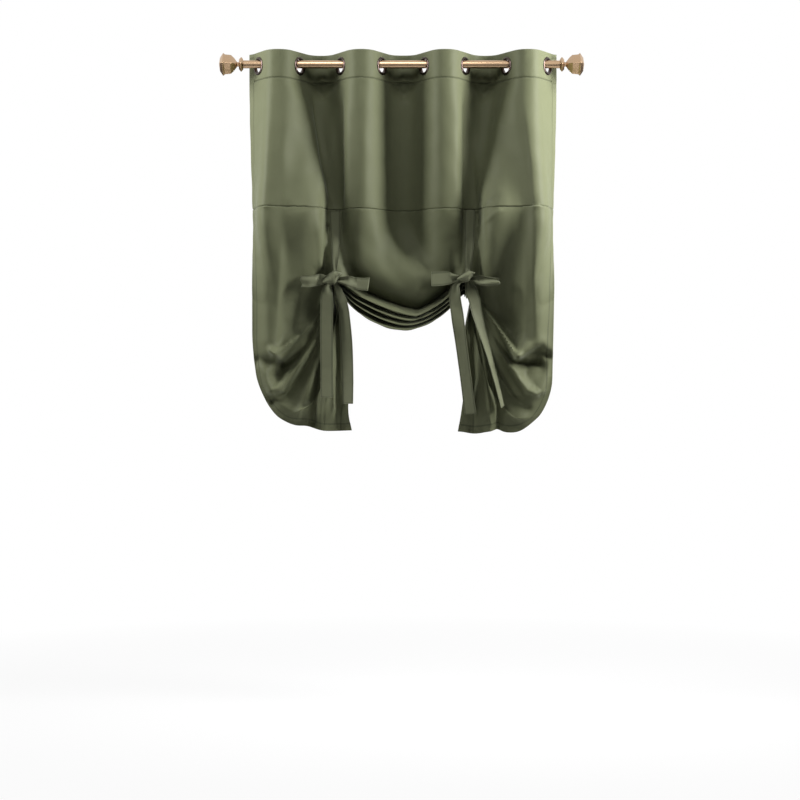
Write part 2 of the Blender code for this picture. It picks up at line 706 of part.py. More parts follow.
def strap_stations(side, face, rows, forward):
    """Follow the cloth down from the seam on its front, face -1, or its back, face 1."""
    gap = (CLOTH_THICKNESS + TIE_THICKNESS) / 2 + TIE_CLEARANCE
    stations = []
    for row, width in rows:
        point = lower_point(side * TIE_PLACE, row)
        point.y += face * gap
        if row == rows[0][0]:
            point.z -= SEAM_CLEARANCE
        else:
            point.y += face * forward
        stations.append((point, Vector((width * TIE_WIDTH / 2, 0, 0))))
    return stations


def ties(side, points, collection, guides, cloth):
    """Make the front and back ribbons of one bow: strap, half of the knot, loop and tail each."""
    name = "left" if side < 0 else "right"
    gap = (CLOTH_THICKNESS + TIE_THICKNESS) / 2 + TIE_CLEARANCE
    knot_x = side * KNOT_ACROSS[side] + HANG_OFFSET
    knot_z = KNOT_RISE - KNOT_DROP[side]
    back_y = -BUNCH_DEPTH - gap - TIE_THICKNESS / 2 - KNOT_BACK - KNOT_HALF_DEPTH / 2
    front_y = back_y - KNOT_HALF_DEPTH - FIT
    narrow = Vector((STRAP_KNOT_WIDTH / 2, 0, 0))

    front_strap = strap_stations(side, -1, FRONT_STRAP, STRAP_FORWARD)
    for y, z in (
        (front_y + STRAP_FORWARD, knot_z + KNOT_HALF_HEIGHT + STRAP_LEAD),
        (front_y, knot_z + KNOT_HALF_HEIGHT - STRAP_TUCK),
    ):
        front_strap.append((Vector((knot_x, y, z)), narrow))

    behind = BUNCH_DEPTH + gap + WRAP_CLEARANCE
    under = -KNOT_DROP[side] - BUNCH_BELOW - WRAP_SAG
    back_strap = strap_stations(side, 1, BACK_STRAP, KNOT_BACK)
    for y, z in (
        (behind, WRAP_LEAD - KNOT_DROP[side]),
        (behind, -KNOT_DROP[side]),
        (behind, under + WRAP_CORNER),
        (behind - WRAP_CORNER * 0.8, under),
        (0.0, under - WRAP_DIP * 0.6),
        (WRAP_CORNER * 0.8 - behind, under - WRAP_DIP),
        (-behind, under + WRAP_CORNER * 0.4),
        (-behind, under + WRAP_CORNER * 2.4),
        (back_y + KNOT_BACK, knot_z - KNOT_HALF_HEIGHT - STRAP_TUCK),
        (back_y, knot_z - KNOT_HALF_HEIGHT + STRAP_TUCK),
    ):
        back_strap.append((Vector((knot_x, y, z)), narrow))

    for label, depth, hand, route, steps in (
        ("front", front_y, -1, front_strap, 10),
        ("back", back_y, 1, back_strap, 40),
    ):
        knot = Vector((knot_x, depth, knot_z))
        piece = knot_half(f"{name}_tie_{label}", knot, collection, cloth)
        for part in (
            ribbon(f"{name}_{label}_strap", route, steps, guides),
            ribbon(f"{name}_{label}_loop", loop_stations(side, hand, knot, points), LOOP_STEPS, guides),
            ribbon(f"{name}_{label}_tail", tail_stations(side, hand, knot, points), TAIL_STEPS, guides),
        ):
            hide_cutter(part)
            boolean(piece, part, "UNION")


def main():
    for old in list(bpy.data.objects):
        bpy.data.objects.remove(old)
    curtain = bpy.data.collections.new("tie_up_curtain")
    guides = bpy.data.collections.new("cutters")
    for collection in (curtain, guides):
        bpy.context.scene.collection.children.link(collection)
    metal = principled("rod_bronze", (0.42, 0.34, 0.22), 0.34, 1.0)
    ring_metal = principled("grommet_gunmetal", (0.16, 0.13, 0.12), 0.38, 1.0)
    cloth = principled("sage_cloth", (0.115, 0.130, 0.072), 0.62)
    lining = principled("stiffener", (0.75, 0.74, 0.70), 0.9)
    rod(curtain, metal)
    for side in (-1, 1):
        finial(side, curtain, metal)
    grommets(curtain, ring_metal)
    cutter = hole_cutter("grommet_holes", guides)
    upper_panel(curtain, cloth, cutter)
    header_stiffener(curtain, lining, cutter)
    points = lower_panel(curtain, cloth)
    for side in (-1, 1):
        ties(side, points, curtain, guides, cloth)


main()
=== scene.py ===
"""The looks of a tie-up window curtain on its rod.

The cloth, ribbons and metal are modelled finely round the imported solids. Metres,
+Z up, the room on the -Y side, and the origin in the middle of the rod's axis.
"""
import math

import bmesh
import bpy
import numpy as np
from mathutils import Matrix, Vector


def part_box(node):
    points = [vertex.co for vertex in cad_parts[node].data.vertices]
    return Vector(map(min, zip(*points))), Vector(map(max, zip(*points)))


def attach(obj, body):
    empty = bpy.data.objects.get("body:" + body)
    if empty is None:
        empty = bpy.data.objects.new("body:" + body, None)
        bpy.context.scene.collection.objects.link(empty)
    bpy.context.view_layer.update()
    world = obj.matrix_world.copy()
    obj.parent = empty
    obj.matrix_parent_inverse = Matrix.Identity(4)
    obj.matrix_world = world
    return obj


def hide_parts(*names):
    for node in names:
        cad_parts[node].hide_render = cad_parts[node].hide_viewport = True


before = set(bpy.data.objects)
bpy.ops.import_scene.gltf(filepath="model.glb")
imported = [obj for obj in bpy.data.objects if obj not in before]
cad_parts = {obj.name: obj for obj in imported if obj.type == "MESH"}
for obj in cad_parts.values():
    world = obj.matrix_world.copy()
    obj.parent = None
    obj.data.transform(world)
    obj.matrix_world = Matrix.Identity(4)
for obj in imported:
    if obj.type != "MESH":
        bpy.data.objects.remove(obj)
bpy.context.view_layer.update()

# Camera and stage
CAMERA_PLACE = (-0.0051, -6.0, -1.074)
CAMERA_LENS = 84.375
FLOOR_HEIGHT = -2.05
FLOOR_SIZE = 24
WORLD_LIGHT = 0.04
# Soft boxes: name, place, aim, width, height and watts
LAMPS = [
    ("box_left", (-1.45, -0.34, 0.08), (-0.25, 0.0, -0.60), 0.36, 1.1, 33),
    ("box_right", (1.36, -0.40, 0.0), (0.30, 0.0, -0.60), 0.36, 1.2, 54),
    ("box_above", (-0.10, -0.85, 0.62), (0.0, 0.0, -0.25), 0.9, 0.4, 7),
    ("box_back", (0.3, 2.8, 0.5), (0.0, 0.0, -0.5), 1.2, 1.2, 42),
]

# Rod and its ends
ROD_RADIUS = 0.0127
ROD_WALL = 0.0012
FIT = 0.0003
PLUG_LENGTH = 0.028
COLLAR_LENGTH = 0.0145
COLLAR_END_RADIUS = 0.016
COLLAR_PEAK_RADIUS = 0.0235
COLLAR_PEAK_LENGTH = 0.002
FINIAL_NECK_RADIUS = 0.0075
# The finial from its neck outwards: radius to a corner, and length
FINIAL_STEPS = [
    (FINIAL_NECK_RADIUS, 0.005), (0.021, 0.010), (0.0305, 0.010), (0.0325, 0.020), (0.0375, 0.005),
    (0.022, 0.0105),
]
FINIAL_CROWN = 0.0035

# Grommets
GROMMET_COUNT = 8
GROMMET_EDGE = 0.053
GROMMET_HOLE_RADIUS = 0.020
GROMMET_RING_RADIUS = 0.029
GROMMET_RING_HEIGHT = 0.0032
BARREL_WALL = 0.0012

# Cloth, as it is cut and before it is hung
CLOTH_WIDTH = 1.422
CLOTH_THICKNESS = 0.0008
HEADER_TOP = 0.038
HEADER_DEPTH = 0.092
UPPER_LENGTH = 0.502
LOWER_LENGTH = 1.10
SIDE_HEM = 0.022
BOTTOM_HEM = 0.040
SEAM_ALLOWANCE = 0.010
HEM_ROLL = 0.0011
SEAM_GAP = 0.0004
SEAM_ROLL_HEIGHT = 0.0036
SEAM_ROLL_DEPTH = 0.0030
SEAM_PUCKER = 0.0010
SEAM_WAVER = 0.0011
STIFFENER_THICKNESS = 0.0008
STIFFENER_MARGIN = 0.004
COLUMN_STEP = 0.0047
# The share of the lower cloth's faces that is kept
LOWER_KEPT = 0.56
# Each seam allowance, row by row: how far it stands above the seam and behind the cloth,
# and its place along the cloth from the seam
UPPER_ALLOWANCE = [
    (-0.0006, 0.0010, -0.001), (0.0, 0.0018, -0.002), (0.004, 0.0022, -0.006),
    (SEAM_ALLOWANCE, 0.0024, -0.012),
]
LOWER_ALLOWANCE = [
    (SEAM_ALLOWANCE, 0.0046, 0.012), (0.004, 0.0040, 0.006), (0.0012, 0.0030, 0.002),
    (0.0006, 0.0014, 0.001),
]

# Threads and stitches
WARP_PITCH = 0.0011
WEFT_PITCH = 0.0009
STITCH_PITCH = 0.0036
STITCH_HALF_WIDTH = 0.0010
GROOVE_HALF_WIDTH = 0.0032
RIBBON_END_STITCH = 0.009
RIBBON_EDGE_STITCH = 0.0170

# How it hangs, with angles in degrees
HANG_OFFSET = 0.0045
HEADER_ANGLE = 58.2
GROMMET_FLAT = 0.0315
SEAM_INSET = 0.012
SEAM_BACK = 0.060
STEEPEST = 86.0
FALL_POWER = 1.5

# Where the ties hold the cloth
TIE_PLACE = 0.282
NECK_HALF_CLOTH = 0.017
NECK_HALF_WIDTH = 0.014
NECK_REACH = 0.070
KNOT_ACROSS = {-1: 0.2112, 1: 0.2048}
KNOT_DROP = {-1: 0.706, 1: 0.700}
BUNCH_ABOVE = 0.012
BUNCH_BELOW = 0.035
BUNCH_DEPTH = 0.038
PLEATS = 4
DROOP = 0.30
NECK_DROOP = 0.12

# Swag between the knots; a low crest power makes its pleats round and full
SWAG_TOP_SAG = 0.100
SWAG_BOTTOM_SAG = 0.112
SWAG_TOP_POWER = 1.35
SWAG_BOTTOM_POWER = 2.0
SWAG_MIDDLE = 0.010
SWAG_PLEAT_DEPTH = 0.028
SWAG_PUFF = 0.050
SWAG_CREST_POWER = 0.50
# Where it hangs lowest for its first and its last pleat, as a share of its half width
SWAG_LEAN = (0.24, 0.02)

# Gathered sides
SIDE_DROP = 0.470
SIDE_PUFF = 0.0125
SIDE_FORWARD = 0.052
CREST_POWER = 2.6
# How much of the plain pleats the sides lose to their pressed folds, and how soon
SIDE_FLATTENING = 0.90
SIDE_FLAT_FROM = 0.24

# Ribbons
TIE_WIDTH = 0.040
TIE_THICKNESS = 0.0012
KNOT_HALF_DEPTH = 0.009
KNOT_RISE = 0.016
LOOP_DEPTH = 0.014
TAIL_CLEARANCE = 0.005
LOOP_CLEARANCE = 0.003
STRAP_CLEARANCE = 0.0022

# The level section at the seam: place, from 0 in the middle by 1 at a tie to 2 at
# the side edge, and the cloth's direction in degrees
SEAM_SECTION = [
    (0.000, 0), (0.106, -30), (0.337, -50), (0.525, -28), (0.624, 0), (0.730, 30), (0.844, 58),
    (0.894, 56), (0.936, 0), (1.042, 0), (1.070, -66), (1.186, -70), (1.275, -46), (1.368, -16),
    (1.438, 4), (1.503, 2), (1.578, -18), (1.648, 0), (1.741, 54), (1.834, 72), (1.951, 70), (2.000, 54),
]
# Each side's fold lines, from the knot by way of a low point to the side edge: pleat,
# then for both points the share of the way to the side edge and of SIDE_DROP
FOLD_LINES = {
    -1: [
        (0.0, (0.520, 0.243), (0.989, 0.102)),
        (0.5, (0.697, 0.468), (0.989, 0.306)),
        (1.5, (0.756, 0.715), (0.945, 0.606)),
        (2.5, (0.483, 0.877), (0.668, 0.902)),
        (3.5, (0.143, 0.817), (0.188, 0.991)),
        (4.0, (-0.086, 0.783), (-0.178, 0.987)),
    ],
    1: [
        (0.0, (0.531, 0.285), (0.993, 0.115)),
        (0.5, (0.603, 0.511), (0.982, 0.387)),
        (1.5, (0.762, 0.755), (0.971, 0.664)),
        (2.5, (0.596, 0.894), (0.827, 0.894)),
        (3.5, (0.264, 0.830), (0.351, 1.000)),
        (4.0, (-0.053, 0.796), (-0.108, 1.006)),
    ],
}
# From the knot, 0, to the side edge, 1: shares of BUNCH_DEPTH and of SIDE_FORWARD
SIDE_PLEAT_DEPTH = [(0, 1.0), (0.4, 0.895), (0.7, 0.684), (1, 0.368)]
SIDE_MIDDLE = [(0, 0.0), (0.3, -0.23), (0.6, -0.65), (0.85, -1.0), (1, -0.69)]

# Folds pressed into the hung cloth, in millimetres: the run's points, across from the
# middle and down from the rod, with how far each stands forward; then the widths of its
# two flanks, first the one on the right hand as one walks the run down the picture
HEADER_FOLDS = [
    ([(-262, 4, 0), (-260, 32, 12), (-259, 60, 20)], 18, 18),
    ([(6, 4, 0), (4, 32, 11), (3, 60, 18)], 20, 20),
    ([(262, 4, 0), (261, 32, 11), (260, 60, 18)], 18, 18),
]
UPPER_FOLDS = [
    # Hollows just below the header, behind its three inner waves
    ([(-300, 56, -7), (-280, 70, -17), (-259, 88, -17), (-238, 70, -16), (-216, 56, -7)], 16, 16),
    ([(-36, 58, -6), (-14, 72, -16), (4, 88, -16), (22, 72, -16), (44, 58, -6)], 17, 17),
    ([(218, 56, -6), (240, 70, -16), (260, 88, -17), (282, 70, -17), (302, 56, -7)], 16, 16),
    # Creases that run down to the ties
    ([(-306, 50, 0), (-292, 150, 6), (-271, 290, 7), (-243, 400, 7), (-227, 470, 4)], 26, 7),
    ([(-280, 110, 0), (-262, 230, -10), (-240, 340, -11), (-221, 440, -6)], 16, 18),
    ([(-187, 60, 0), (-188, 180, 9), (-189, 300, 10), (-190, 420, 9), (-190, 475, 5)], 6, 24),
    ([(-212, 90, 0), (-213, 220, -9), (-213, 340, -9), (-215, 460, -5)], 14, 14),
    ([(184, 60, 0), (186, 180, 9), (188, 300, 10), (189, 420, 10), (190, 475, 5)], 24, 6),
    ([(214, 90, 0), (216, 220, -10), (216, 340, -10), (218, 460, -5)], 20, 14),
    ([(312, 400, 0), (270, 440, 5), (232, 475, 6)], 12, 7),
    # The boundaries of the pale side bands
    ([(384, 66, 0), (394, 200, 4), (406, 330, 5), (416, 470, 4)], 9, 30),
    ([(-428, 80, 0), (-432, 250, 5), (-436, 460, 4)], 22, 22),
    ([(-385, 90, 0), (-376, 240, 4), (-368, 440, 3)], 16, 20),
    # Soft bright strips on the middle waves
    ([(-184, 70, 0), (-184, 240, 3), (-186, 460, 3)], 8, 12),
    ([(-124, 70, 0), (-126, 240, 4), (-122, 440, 2)], 20, 18),
]
LOWER_FOLDS = [
    # Left side: the band that hangs straight, the hollow beside it and the puff above the bow
    ([(-436, 470, 4), (-436, 620, 9), (-432, 760, 12), (-424, 880, 8)], 26, 26),
    ([(-292, 480, -4), (-278, 600, -26), (-274, 700, -38), (-282, 780, -38), (-300, 835, -22)], 66, 26),
    ([(-384, 520, 0), (-390, 640, 8), (-398, 768, 14), (-400, 845, 18), (-406, 894, 22),
      (-403, 930, 26)], 40, 14),
    ([(-280, 664, 0), (-254, 650, 12), (-236, 628, 6)], 20, 20),
    ([(-258, 474, 3), (-243, 505, 4)], 6, 10),
    ([(-246, 500, 0), (-240, 520, -8), (-237, 545, 0)], 7, 9),
    # Its gathered folds, ridge and hollow by turns, from the knot to the low side
    ([(-236, 745, 6), (-261, 774, 12), (-291, 839, 20), (-334, 875, 24), (-374, 906, 27), (-402, 930, 32),
      (-418, 920, 22)], 15, 7),
    ([(-262, 812, -6), (-290, 868, -22), (-316, 905, -34), (-350, 935, -44), (-383, 962, -46),
      (-402, 990, -34)], 15, 26),
    ([(-456, 946, -14), (-428, 950, -26), (-400, 960, -30)], 20, 14),
    ([(-258, 840, 6), (-291, 894, 14), (-325, 949, 18), (-368, 1010, 20), (-392, 1038, 20), (-417, 1044, 20),
      (-441, 992, 14), (-454, 955, 6)], 16, 12),
    ([(-262, 880, -8), (-304, 949, -24), (-334, 998, -30), (-374, 1053, -28), (-414, 1072, -18)], 12, 22),
    ([(-264, 930, 2), (-291, 1016, 8), (-322, 1090, 10), (-334, 1130, 8)], 16, 10),
    ([(-258, 960, -14), (-276, 1074, -24), (-284, 1150, -24)], 16, 8),
    ([(-236, 1000, 0), (-246, 1074, 8), (-253, 1176, 10)], 6, 14),
    ([(-206, 800, -10), (-208, 950, -20), (-206, 1080, -20), (-202, 1176, -8)], 15, 12),
    # Right side, in the same order
    ([(414, 470, 8), (416, 620, 14), (420, 760, 16), (424, 862, 12)], 18, 46),
    ([(326, 480, -4), (330, 620, -26), (334, 740, -38), (344, 820, -36), (354, 856, -22)], 46, 42),
    ([(392, 540, 0), (390, 660, 6), (388, 783, 10), (389, 860, 14), (377, 912, 20), (362, 941, 24)], 10, 40),
    ([(238, 660, 4), (250, 640, 6), (262, 600, 0)], 18, 18),
    ([(304, 476, 4), (272, 500, 6), (244, 524, 6)], 8, 8),
    ([(239, 734, -6), (279, 796, -12), (322, 845, -12)], 10, 20),
    ([(240, 745, 6), (251, 768, 12), (297, 836, 22), (334, 894, 27), (353, 930, 31), (362, 941, 30)], 7, 15),
    ([(362, 941, 16), (402, 908, 12), (444, 893, 10), (470, 925, 4)], 9, 20),
    ([(256, 800, -8), (279, 850, -20), (322, 918, -32), (346, 950, -44), (395, 960, -42),
      (425, 950, -26)], 15, 12),
    ([(375, 952, -20), (405, 934, -32), (430, 921, -32), (452, 926, -18)], 24, 13),
    ([(395, 985, -18), (430, 965, -18)], 24, 18),
    ([(250, 800, 5), (282, 857, 14), (322, 937, 20), (365, 1007, 24), (392, 1044, 26), (420, 1056, 24),
      (440, 1046, 16), (457, 998, 10), (463, 955, 5)], 10, 18),
    ([(262, 880, -8), (273, 906, -14), (310, 998, -24), (346, 1059, -24), (390, 1092, -14)], 22, 10),
    ([(318, 1040, 2), (345, 1100, 8), (380, 1140, 8)], 16, 26),
    ([(268, 930, -8), (284, 1010, -20), (300, 1100, -26), (306, 1176, -24)], 6, 16),
    ([(240, 880, 4), (251, 912, 8), (261, 998, 12), (273, 1090, 12), (282, 1180, 12)], 14, 6),
    ([(214, 800, -8), (222, 900, -14), (224, 998, -16), (216, 1100, -12), (210, 1176, -8)], 10, 12),
    # Middle: dark corners by the knots, slits beside the straps, puffs and the slanting fold
    ([(-184, 545, -3), (-180, 640, -14), (-160, 690, -12), (-120, 722, 0)], 26, 22),
    ([(-197, 462, -3), (-197, 514, -5), (-196, 560, 0)], 5, 6),
    ([(190, 460, -3), (192, 522, -5), (196, 560, 0)], 6, 5),
    ([(176, 480, 4), (178, 580, 9), (176, 640, 6)], 26, 10),
    ([(-112, 480, 0), (-66, 540, 8), (-24, 600, 10), (12, 655, 8), (48, 706, 4)], 34, 24),
    ([(16, 470, 0), (38, 520, -10), (64, 575, -18), (84, 657, -16), (94, 704, -4)], 26, 28),
    ([(36, 760, 0), (64, 738, 11), (96, 712, 4)], 26, 26),
]
# The same for steep flanks that are drawn together sideways, to the right where above 0
UPPER_DRAWS = [
    ([(-202, 60, 0), (-203, 140, 10), (-203, 420, 10), (-202, 490, 0)], 12, 12),
    ([(203, 60, 0), (203, 140, -10), (203, 420, -10), (202, 490, 0)], 12, 12),
    ([(-294, 60, 0), (-280, 150, -8), (-259, 290, -9), (-231, 400, -9), (-216, 480, 0)], 12, 12),
    ([(-16, 80, 0), (-18, 200, 5), (-18, 400, 3), (-18, 500, 0)], 14, 14),
    # The side bands' inner edges stand nearer to the middle just below the header
    ([(-338, 62, 0), (-334, 120, 14), (-320, 200, 22), (-298, 280, 10), (-282, 350, 0)], 46, 30),
    ([(336, 62, 0), (334, 120, -14), (320, 200, -22), (300, 290, -12), (284, 370, 0)], 30, 46),
]
# Where the gathered sides swell beyond their fold lines, in millimetres: a place across and
# down, how far the cloth there moves across and down, and the reach of that across and down
SWELLS = [
    (-225, 790, 15, 0, 24, 45), (-210, 900, 14, 0, 24, 70), (-205, 1040, 24, 0, 30, 85),
    (-300, 1160, 0, -12, 34, 60), (365, 1150, 0, 16, 50, 60), (300, 1160, 0, -8, 14, 50),
    (230, 1165, 0, 8, 36, 60), (203, 860, -12, 0, 22, 60), (200, 742, 3, 8, 14, 14),
]

MM = 0.001
HALF_CLOTH = CLOTH_WIDTH / 2
GROMMET_PITCH = (CLOTH_WIDTH - 2 * GROMMET_EDGE) / (GROMMET_COUNT - 1)
HEADER_BOTTOM = HEADER_TOP - HEADER_DEPTH
SEAM_HEIGHT = HEADER_TOP - UPPER_LENGTH
HEADER_FOLD = CLOTH_THICKNESS + STIFFENER_THICKNESS + 2 * FIT
BARREL_FRONT = -CLOTH_THICKNESS / 2 - FIT - GROMMET_RING_HEIGHT * 0.2
BARREL_BACK = HEADER_FOLD + CLOTH_THICKNESS / 2 + FIT + GROMMET_RING_HEIGHT * 0.7
BUNCH_HEIGHT = BUNCH_ABOVE + BUNCH_BELOW
SIDE_CLOTH = HALF_CLOTH - TIE_PLACE - NECK_HALF_CLOTH
HEADER_STITCH = HEADER_BOTTOM + 0.003
HEM_STITCH = SEAM_HEIGHT - LOWER_LENGTH + BOTTOM_HEM
SIDE_STITCH = HALF_CLOTH - SIDE_HEM + 0.002
HOLE_RADIUS = GROMMET_HOLE_RADIUS + BARREL_WALL + 0.001
HOLE_REACH = 0.012


def smooth(keys, at):
    """Read a smooth curve through keys of (place, value) that never overshoots them."""
    places, values = (np.array(column, float) for column in zip(*keys))
    runs = np.diff(places)
    slopes = np.diff(values) / runs
    tangents = np.zeros(len(places))
    for i in range(1, len(places) - 1):
        if slopes[i - 1] * slopes[i] > 0:
            tangents[i] = 2 * slopes[i - 1] * slopes[i] / (slopes[i - 1] + slopes[i])
    at = np.clip(at, places[0], places[-1])
    i = np.clip(np.searchsorted(places, at) - 1, 0, len(runs) - 1)
    t = (at - places[i]) / runs[i]
    return (
        (1 + 2 * t) * (1 - t) ** 2 * values[i]
        + t * (1 - t) ** 2 * runs[i] * tangents[i]
        + t * t * (3 - 2 * t) * values[i + 1]
        - t * t * (1 - t) * runs[i] * tangents[i + 1]
    )


def ease(t):
    """Go from 0 to 1 with level ends."""
    t = np.clip(t, 0, 1)
    return t * t * (3 - 2 * t)


def grommet_places():
    """Give the cloth from the middle to each grommet of one half."""
    return [(i + 0.5) * GROMMET_PITCH for i in range(GROMMET_COUNT // 2)]


def header_section():
    """Give the header's directions: straight through each grommet, and turned between them."""
    keys = [(0.0, 0.0)]
    turn = -HEADER_ANGLE
    for place in grommet_places():
        keys += [(place - GROMMET_FLAT, turn), (place + GROMMET_FLAT, turn)]
        if place + GROMMET_PITCH / 2 < HALF_CLOTH:
            keys.append((place + GROMMET_PITCH / 2, 0.0))
        turn = -turn
    keys.append((HALF_CLOTH, -turn / 2))
    return keys


# Steps of about 0.5 mm from the middle of the cloth to its side edge
FINE = np.linspace(0, HALF_CLOTH, 1422)


def wave(turns):
    """Follow a level section by its directions in degrees: places across, depths and angles."""
    step = FINE[1] - FINE[0]
    angles = np.radians(turns)
    middles = angles[1:] / 2 + angles[:-1] / 2
    across = np.concatenate([[0], np.cumsum(np.cos(middles)) * step])
    depth = np.concatenate([[0], np.cumsum(np.sin(middles)) * step])
    return across, depth, angles


def bent_to(turns, edge):
    """Bend a section more or less until its edge stands at its place across."""
    low, high = 0.3, 2.0
    for _ in range(24):
        middle = (low + high) / 2
        bent = np.clip(turns * middle, -STEEPEST, STEEPEST)
        if wave(bent)[0][-1] > edge:
            low = middle
        else:
            high = middle
    return bent


HEADER_ACROSS, HEADER_DEPTHS, HEADER_ANGLES = wave(smooth(header_section(), FINE))
HEADER_DEPTHS -= np.interp(GROMMET_PITCH / 2, FINE, HEADER_DEPTHS)
HEADER_DEPTHS -= (BARREL_FRONT + BARREL_BACK) / 2 * math.cos(math.radians(HEADER_ANGLE))
HEADER_EDGE = float(HEADER_ACROSS[-1])
ROD_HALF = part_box("rod")[1].x
SEAM_EDGE = HEADER_EDGE - SEAM_INSET
SEAM_PLACES = np.interp(FINE, [0, TIE_PLACE, HALF_CLOTH], [0, 1, 2])
SEAM_ACROSS, SEAM_DEPTHS, _ = wave(bent_to(smooth(SEAM_SECTION, SEAM_PLACES), SEAM_EDGE))
SEAM_DEPTHS += SEAM_BACK


def stacked(*axes):
    """Join equal arrays of x, y and z into one array of points."""
    return np.stack(np.broadcast_arrays(*axes), axis=-1)


def upper_cloth(cloth, height, offset):
    """Place the upper cloth: columns of cloth from the middle, rows of height and offset to the back."""
    away = np.abs(cloth)[None, :]
    side = np.where(cloth < 0, -1.0, 1.0)[None, :]
    height, offset = height[:, None], offset[:, None]
    share = np.maximum((HEADER_BOTTOM - height) / (HEADER_BOTTOM - SEAM_HEIGHT), 0) ** FALL_POWER
    header, seam = (np.interp(away, FINE, line) for line in (HEADER_ACROSS, SEAM_ACROSS))
    header_depth, seam_depth = (np.interp(away, FINE, line) for line in (HEADER_DEPTHS, SEAM_DEPTHS))
    angle = np.interp(away, FINE, HEADER_ANGLES)
    x = header * (1 - share) + seam * share - np.sin(angle) * offset
    y = header_depth * (1 - share) + seam_depth * share + np.cos(angle) * offset
    return stacked(side * x + HANG_OFFSET, y, height)


def side_folds(side, pleat, share):
    """Follow one side's fold lines: share 0 at the knot, 1 at the side edge."""
    knot = np.stack([np.full_like(pleat, NECK_HALF_WIDTH), BUNCH_HEIGHT * pleat / PLEATS - BUNCH_ABOVE])
    reach = (SEAM_EDGE - KNOT_ACROSS[side], SIDE_DROP)
    lines = FOLD_LINES[side]
    low, edge = (
        np.stack([reach[i] * smooth([(line[0], line[point][i]) for line in lines], pleat) for i in (0, 1)])
        for point in (1, 2)
    )
    near, far = np.hypot(*(low - knot)), np.hypot(*(edge - low))
    at = near / (near + far)
    control = (low - (1 - at) ** 2 * knot - at * at * edge) / (2 * at * (1 - at))
    along = (1 - share) ** 2 * knot + 2 * share * (1 - share) * control + share * share * edge
    return along[0] + KNOT_ACROSS[side], along[1] + KNOT_DROP[side]


def gathered(cloth, pleat):
    """Place the pleated cloth below the knots' level: columns of cloth, rows of pleat."""
    pleat = pleat[:, None] + 0 * cloth[None, :]
    cloth = cloth[None, :] + 0 * pleat
    away = np.abs(cloth)
    side = np.where(cloth < 0, -1.0, 1.0)
    stack = BUNCH_HEIGHT * pleat / PLEATS - BUNCH_ABOVE
    outside = (away - TIE_PLACE - NECK_HALF_CLOTH) / SIDE_CLOTH
    share = np.clip(outside, 0, 1)
    left, right = side_folds(-1, pleat, share), side_folds(1, pleat, share)
    side_x = np.where(side < 0, -left[0], right[0])
    side_z = -np.where(side < 0, left[1], right[1])
    flat = 1 - SIDE_FLATTENING * ease(share / SIDE_FLAT_FROM)
    side_depth = BUNCH_DEPTH * smooth(SIDE_PLEAT_DEPTH, share) * flat
    side_middle = SIDE_FORWARD * smooth(SIDE_MIDDLE, share)
    side_neck = 1 - ease(outside * SIDE_CLOTH / NECK_REACH)

    inside = np.clip(cloth / (TIE_PLACE - NECK_HALF_CLOTH), -1, 1)
    across = (inside + 1) / 2
    lean = SWAG_LEAN[0] + (SWAG_LEAN[1] - SWAG_LEAN[0]) * pleat / PLEATS
    hang = (inside - lean) / (1 - lean * np.sign(inside - lean))
    swag_left, swag_right = NECK_HALF_WIDTH - KNOT_ACROSS[-1], KNOT_ACROSS[1] - NECK_HALF_WIDTH
    knots = KNOT_DROP[-1] + (KNOT_DROP[1] - KNOT_DROP[-1]) * across
    power = SWAG_TOP_POWER + (SWAG_BOTTOM_POWER - SWAG_TOP_POWER) * pleat / PLEATS
    sag = SWAG_TOP_SAG + (SWAG_BOTTOM_SAG - SWAG_TOP_SAG) * pleat / PLEATS
    fall = ease(1 - np.abs(inside))
    swag_x = swag_left + (swag_right - swag_left) * across
    swag_z = -knots - stack - sag * (1 - np.abs(hang) ** power)
    swag_depth = BUNCH_DEPTH + (SWAG_PLEAT_DEPTH - BUNCH_DEPTH) * fall
    swag_neck = 1 - ease((1 - np.abs(inside)) * TIE_PLACE / NECK_REACH)

    knot_across = np.where(side < 0, KNOT_ACROSS[-1], KNOT_ACROSS[1])
    knot_drop = np.where(side < 0, KNOT_DROP[-1], KNOT_DROP[1])
    neck_x = side * (knot_across + (away - TIE_PLACE) * NECK_HALF_WIDTH / NECK_HALF_CLOTH)
    at_side, in_swag = outside > 0, away < TIE_PLACE - NECK_HALF_CLOTH

    def pick(beyond, between, neck):
        return np.where(at_side, beyond, np.where(in_swag, between, neck))

    x = pick(side_x, swag_x, neck_x)
    z = pick(side_z, swag_z, -knot_drop - stack)
    depth = pick(side_depth, swag_depth, BUNCH_DEPTH)
    middle = pick(side_middle, -SWAG_MIDDLE * fall, 0.0)
    neck = pick(side_neck, swag_neck, 1.0)
    # Valleys stand at whole pleats and crests between them, and the first crest hugs the knot
    crest = np.where(in_swag, CREST_POWER + (SWAG_CREST_POWER - CREST_POWER) * fall, CREST_POWER)
    y = middle + depth * (1 - 2 * np.abs(np.sin(np.pi * pleat)) ** crest)
    y = np.where(pleat < 0.5, y + neck * (middle - depth - y), y)
    z = z + (DROOP + (NECK_DROOP - DROOP) * neck) * (y - middle)
    return stacked(x + HANG_OFFSET, y, z)


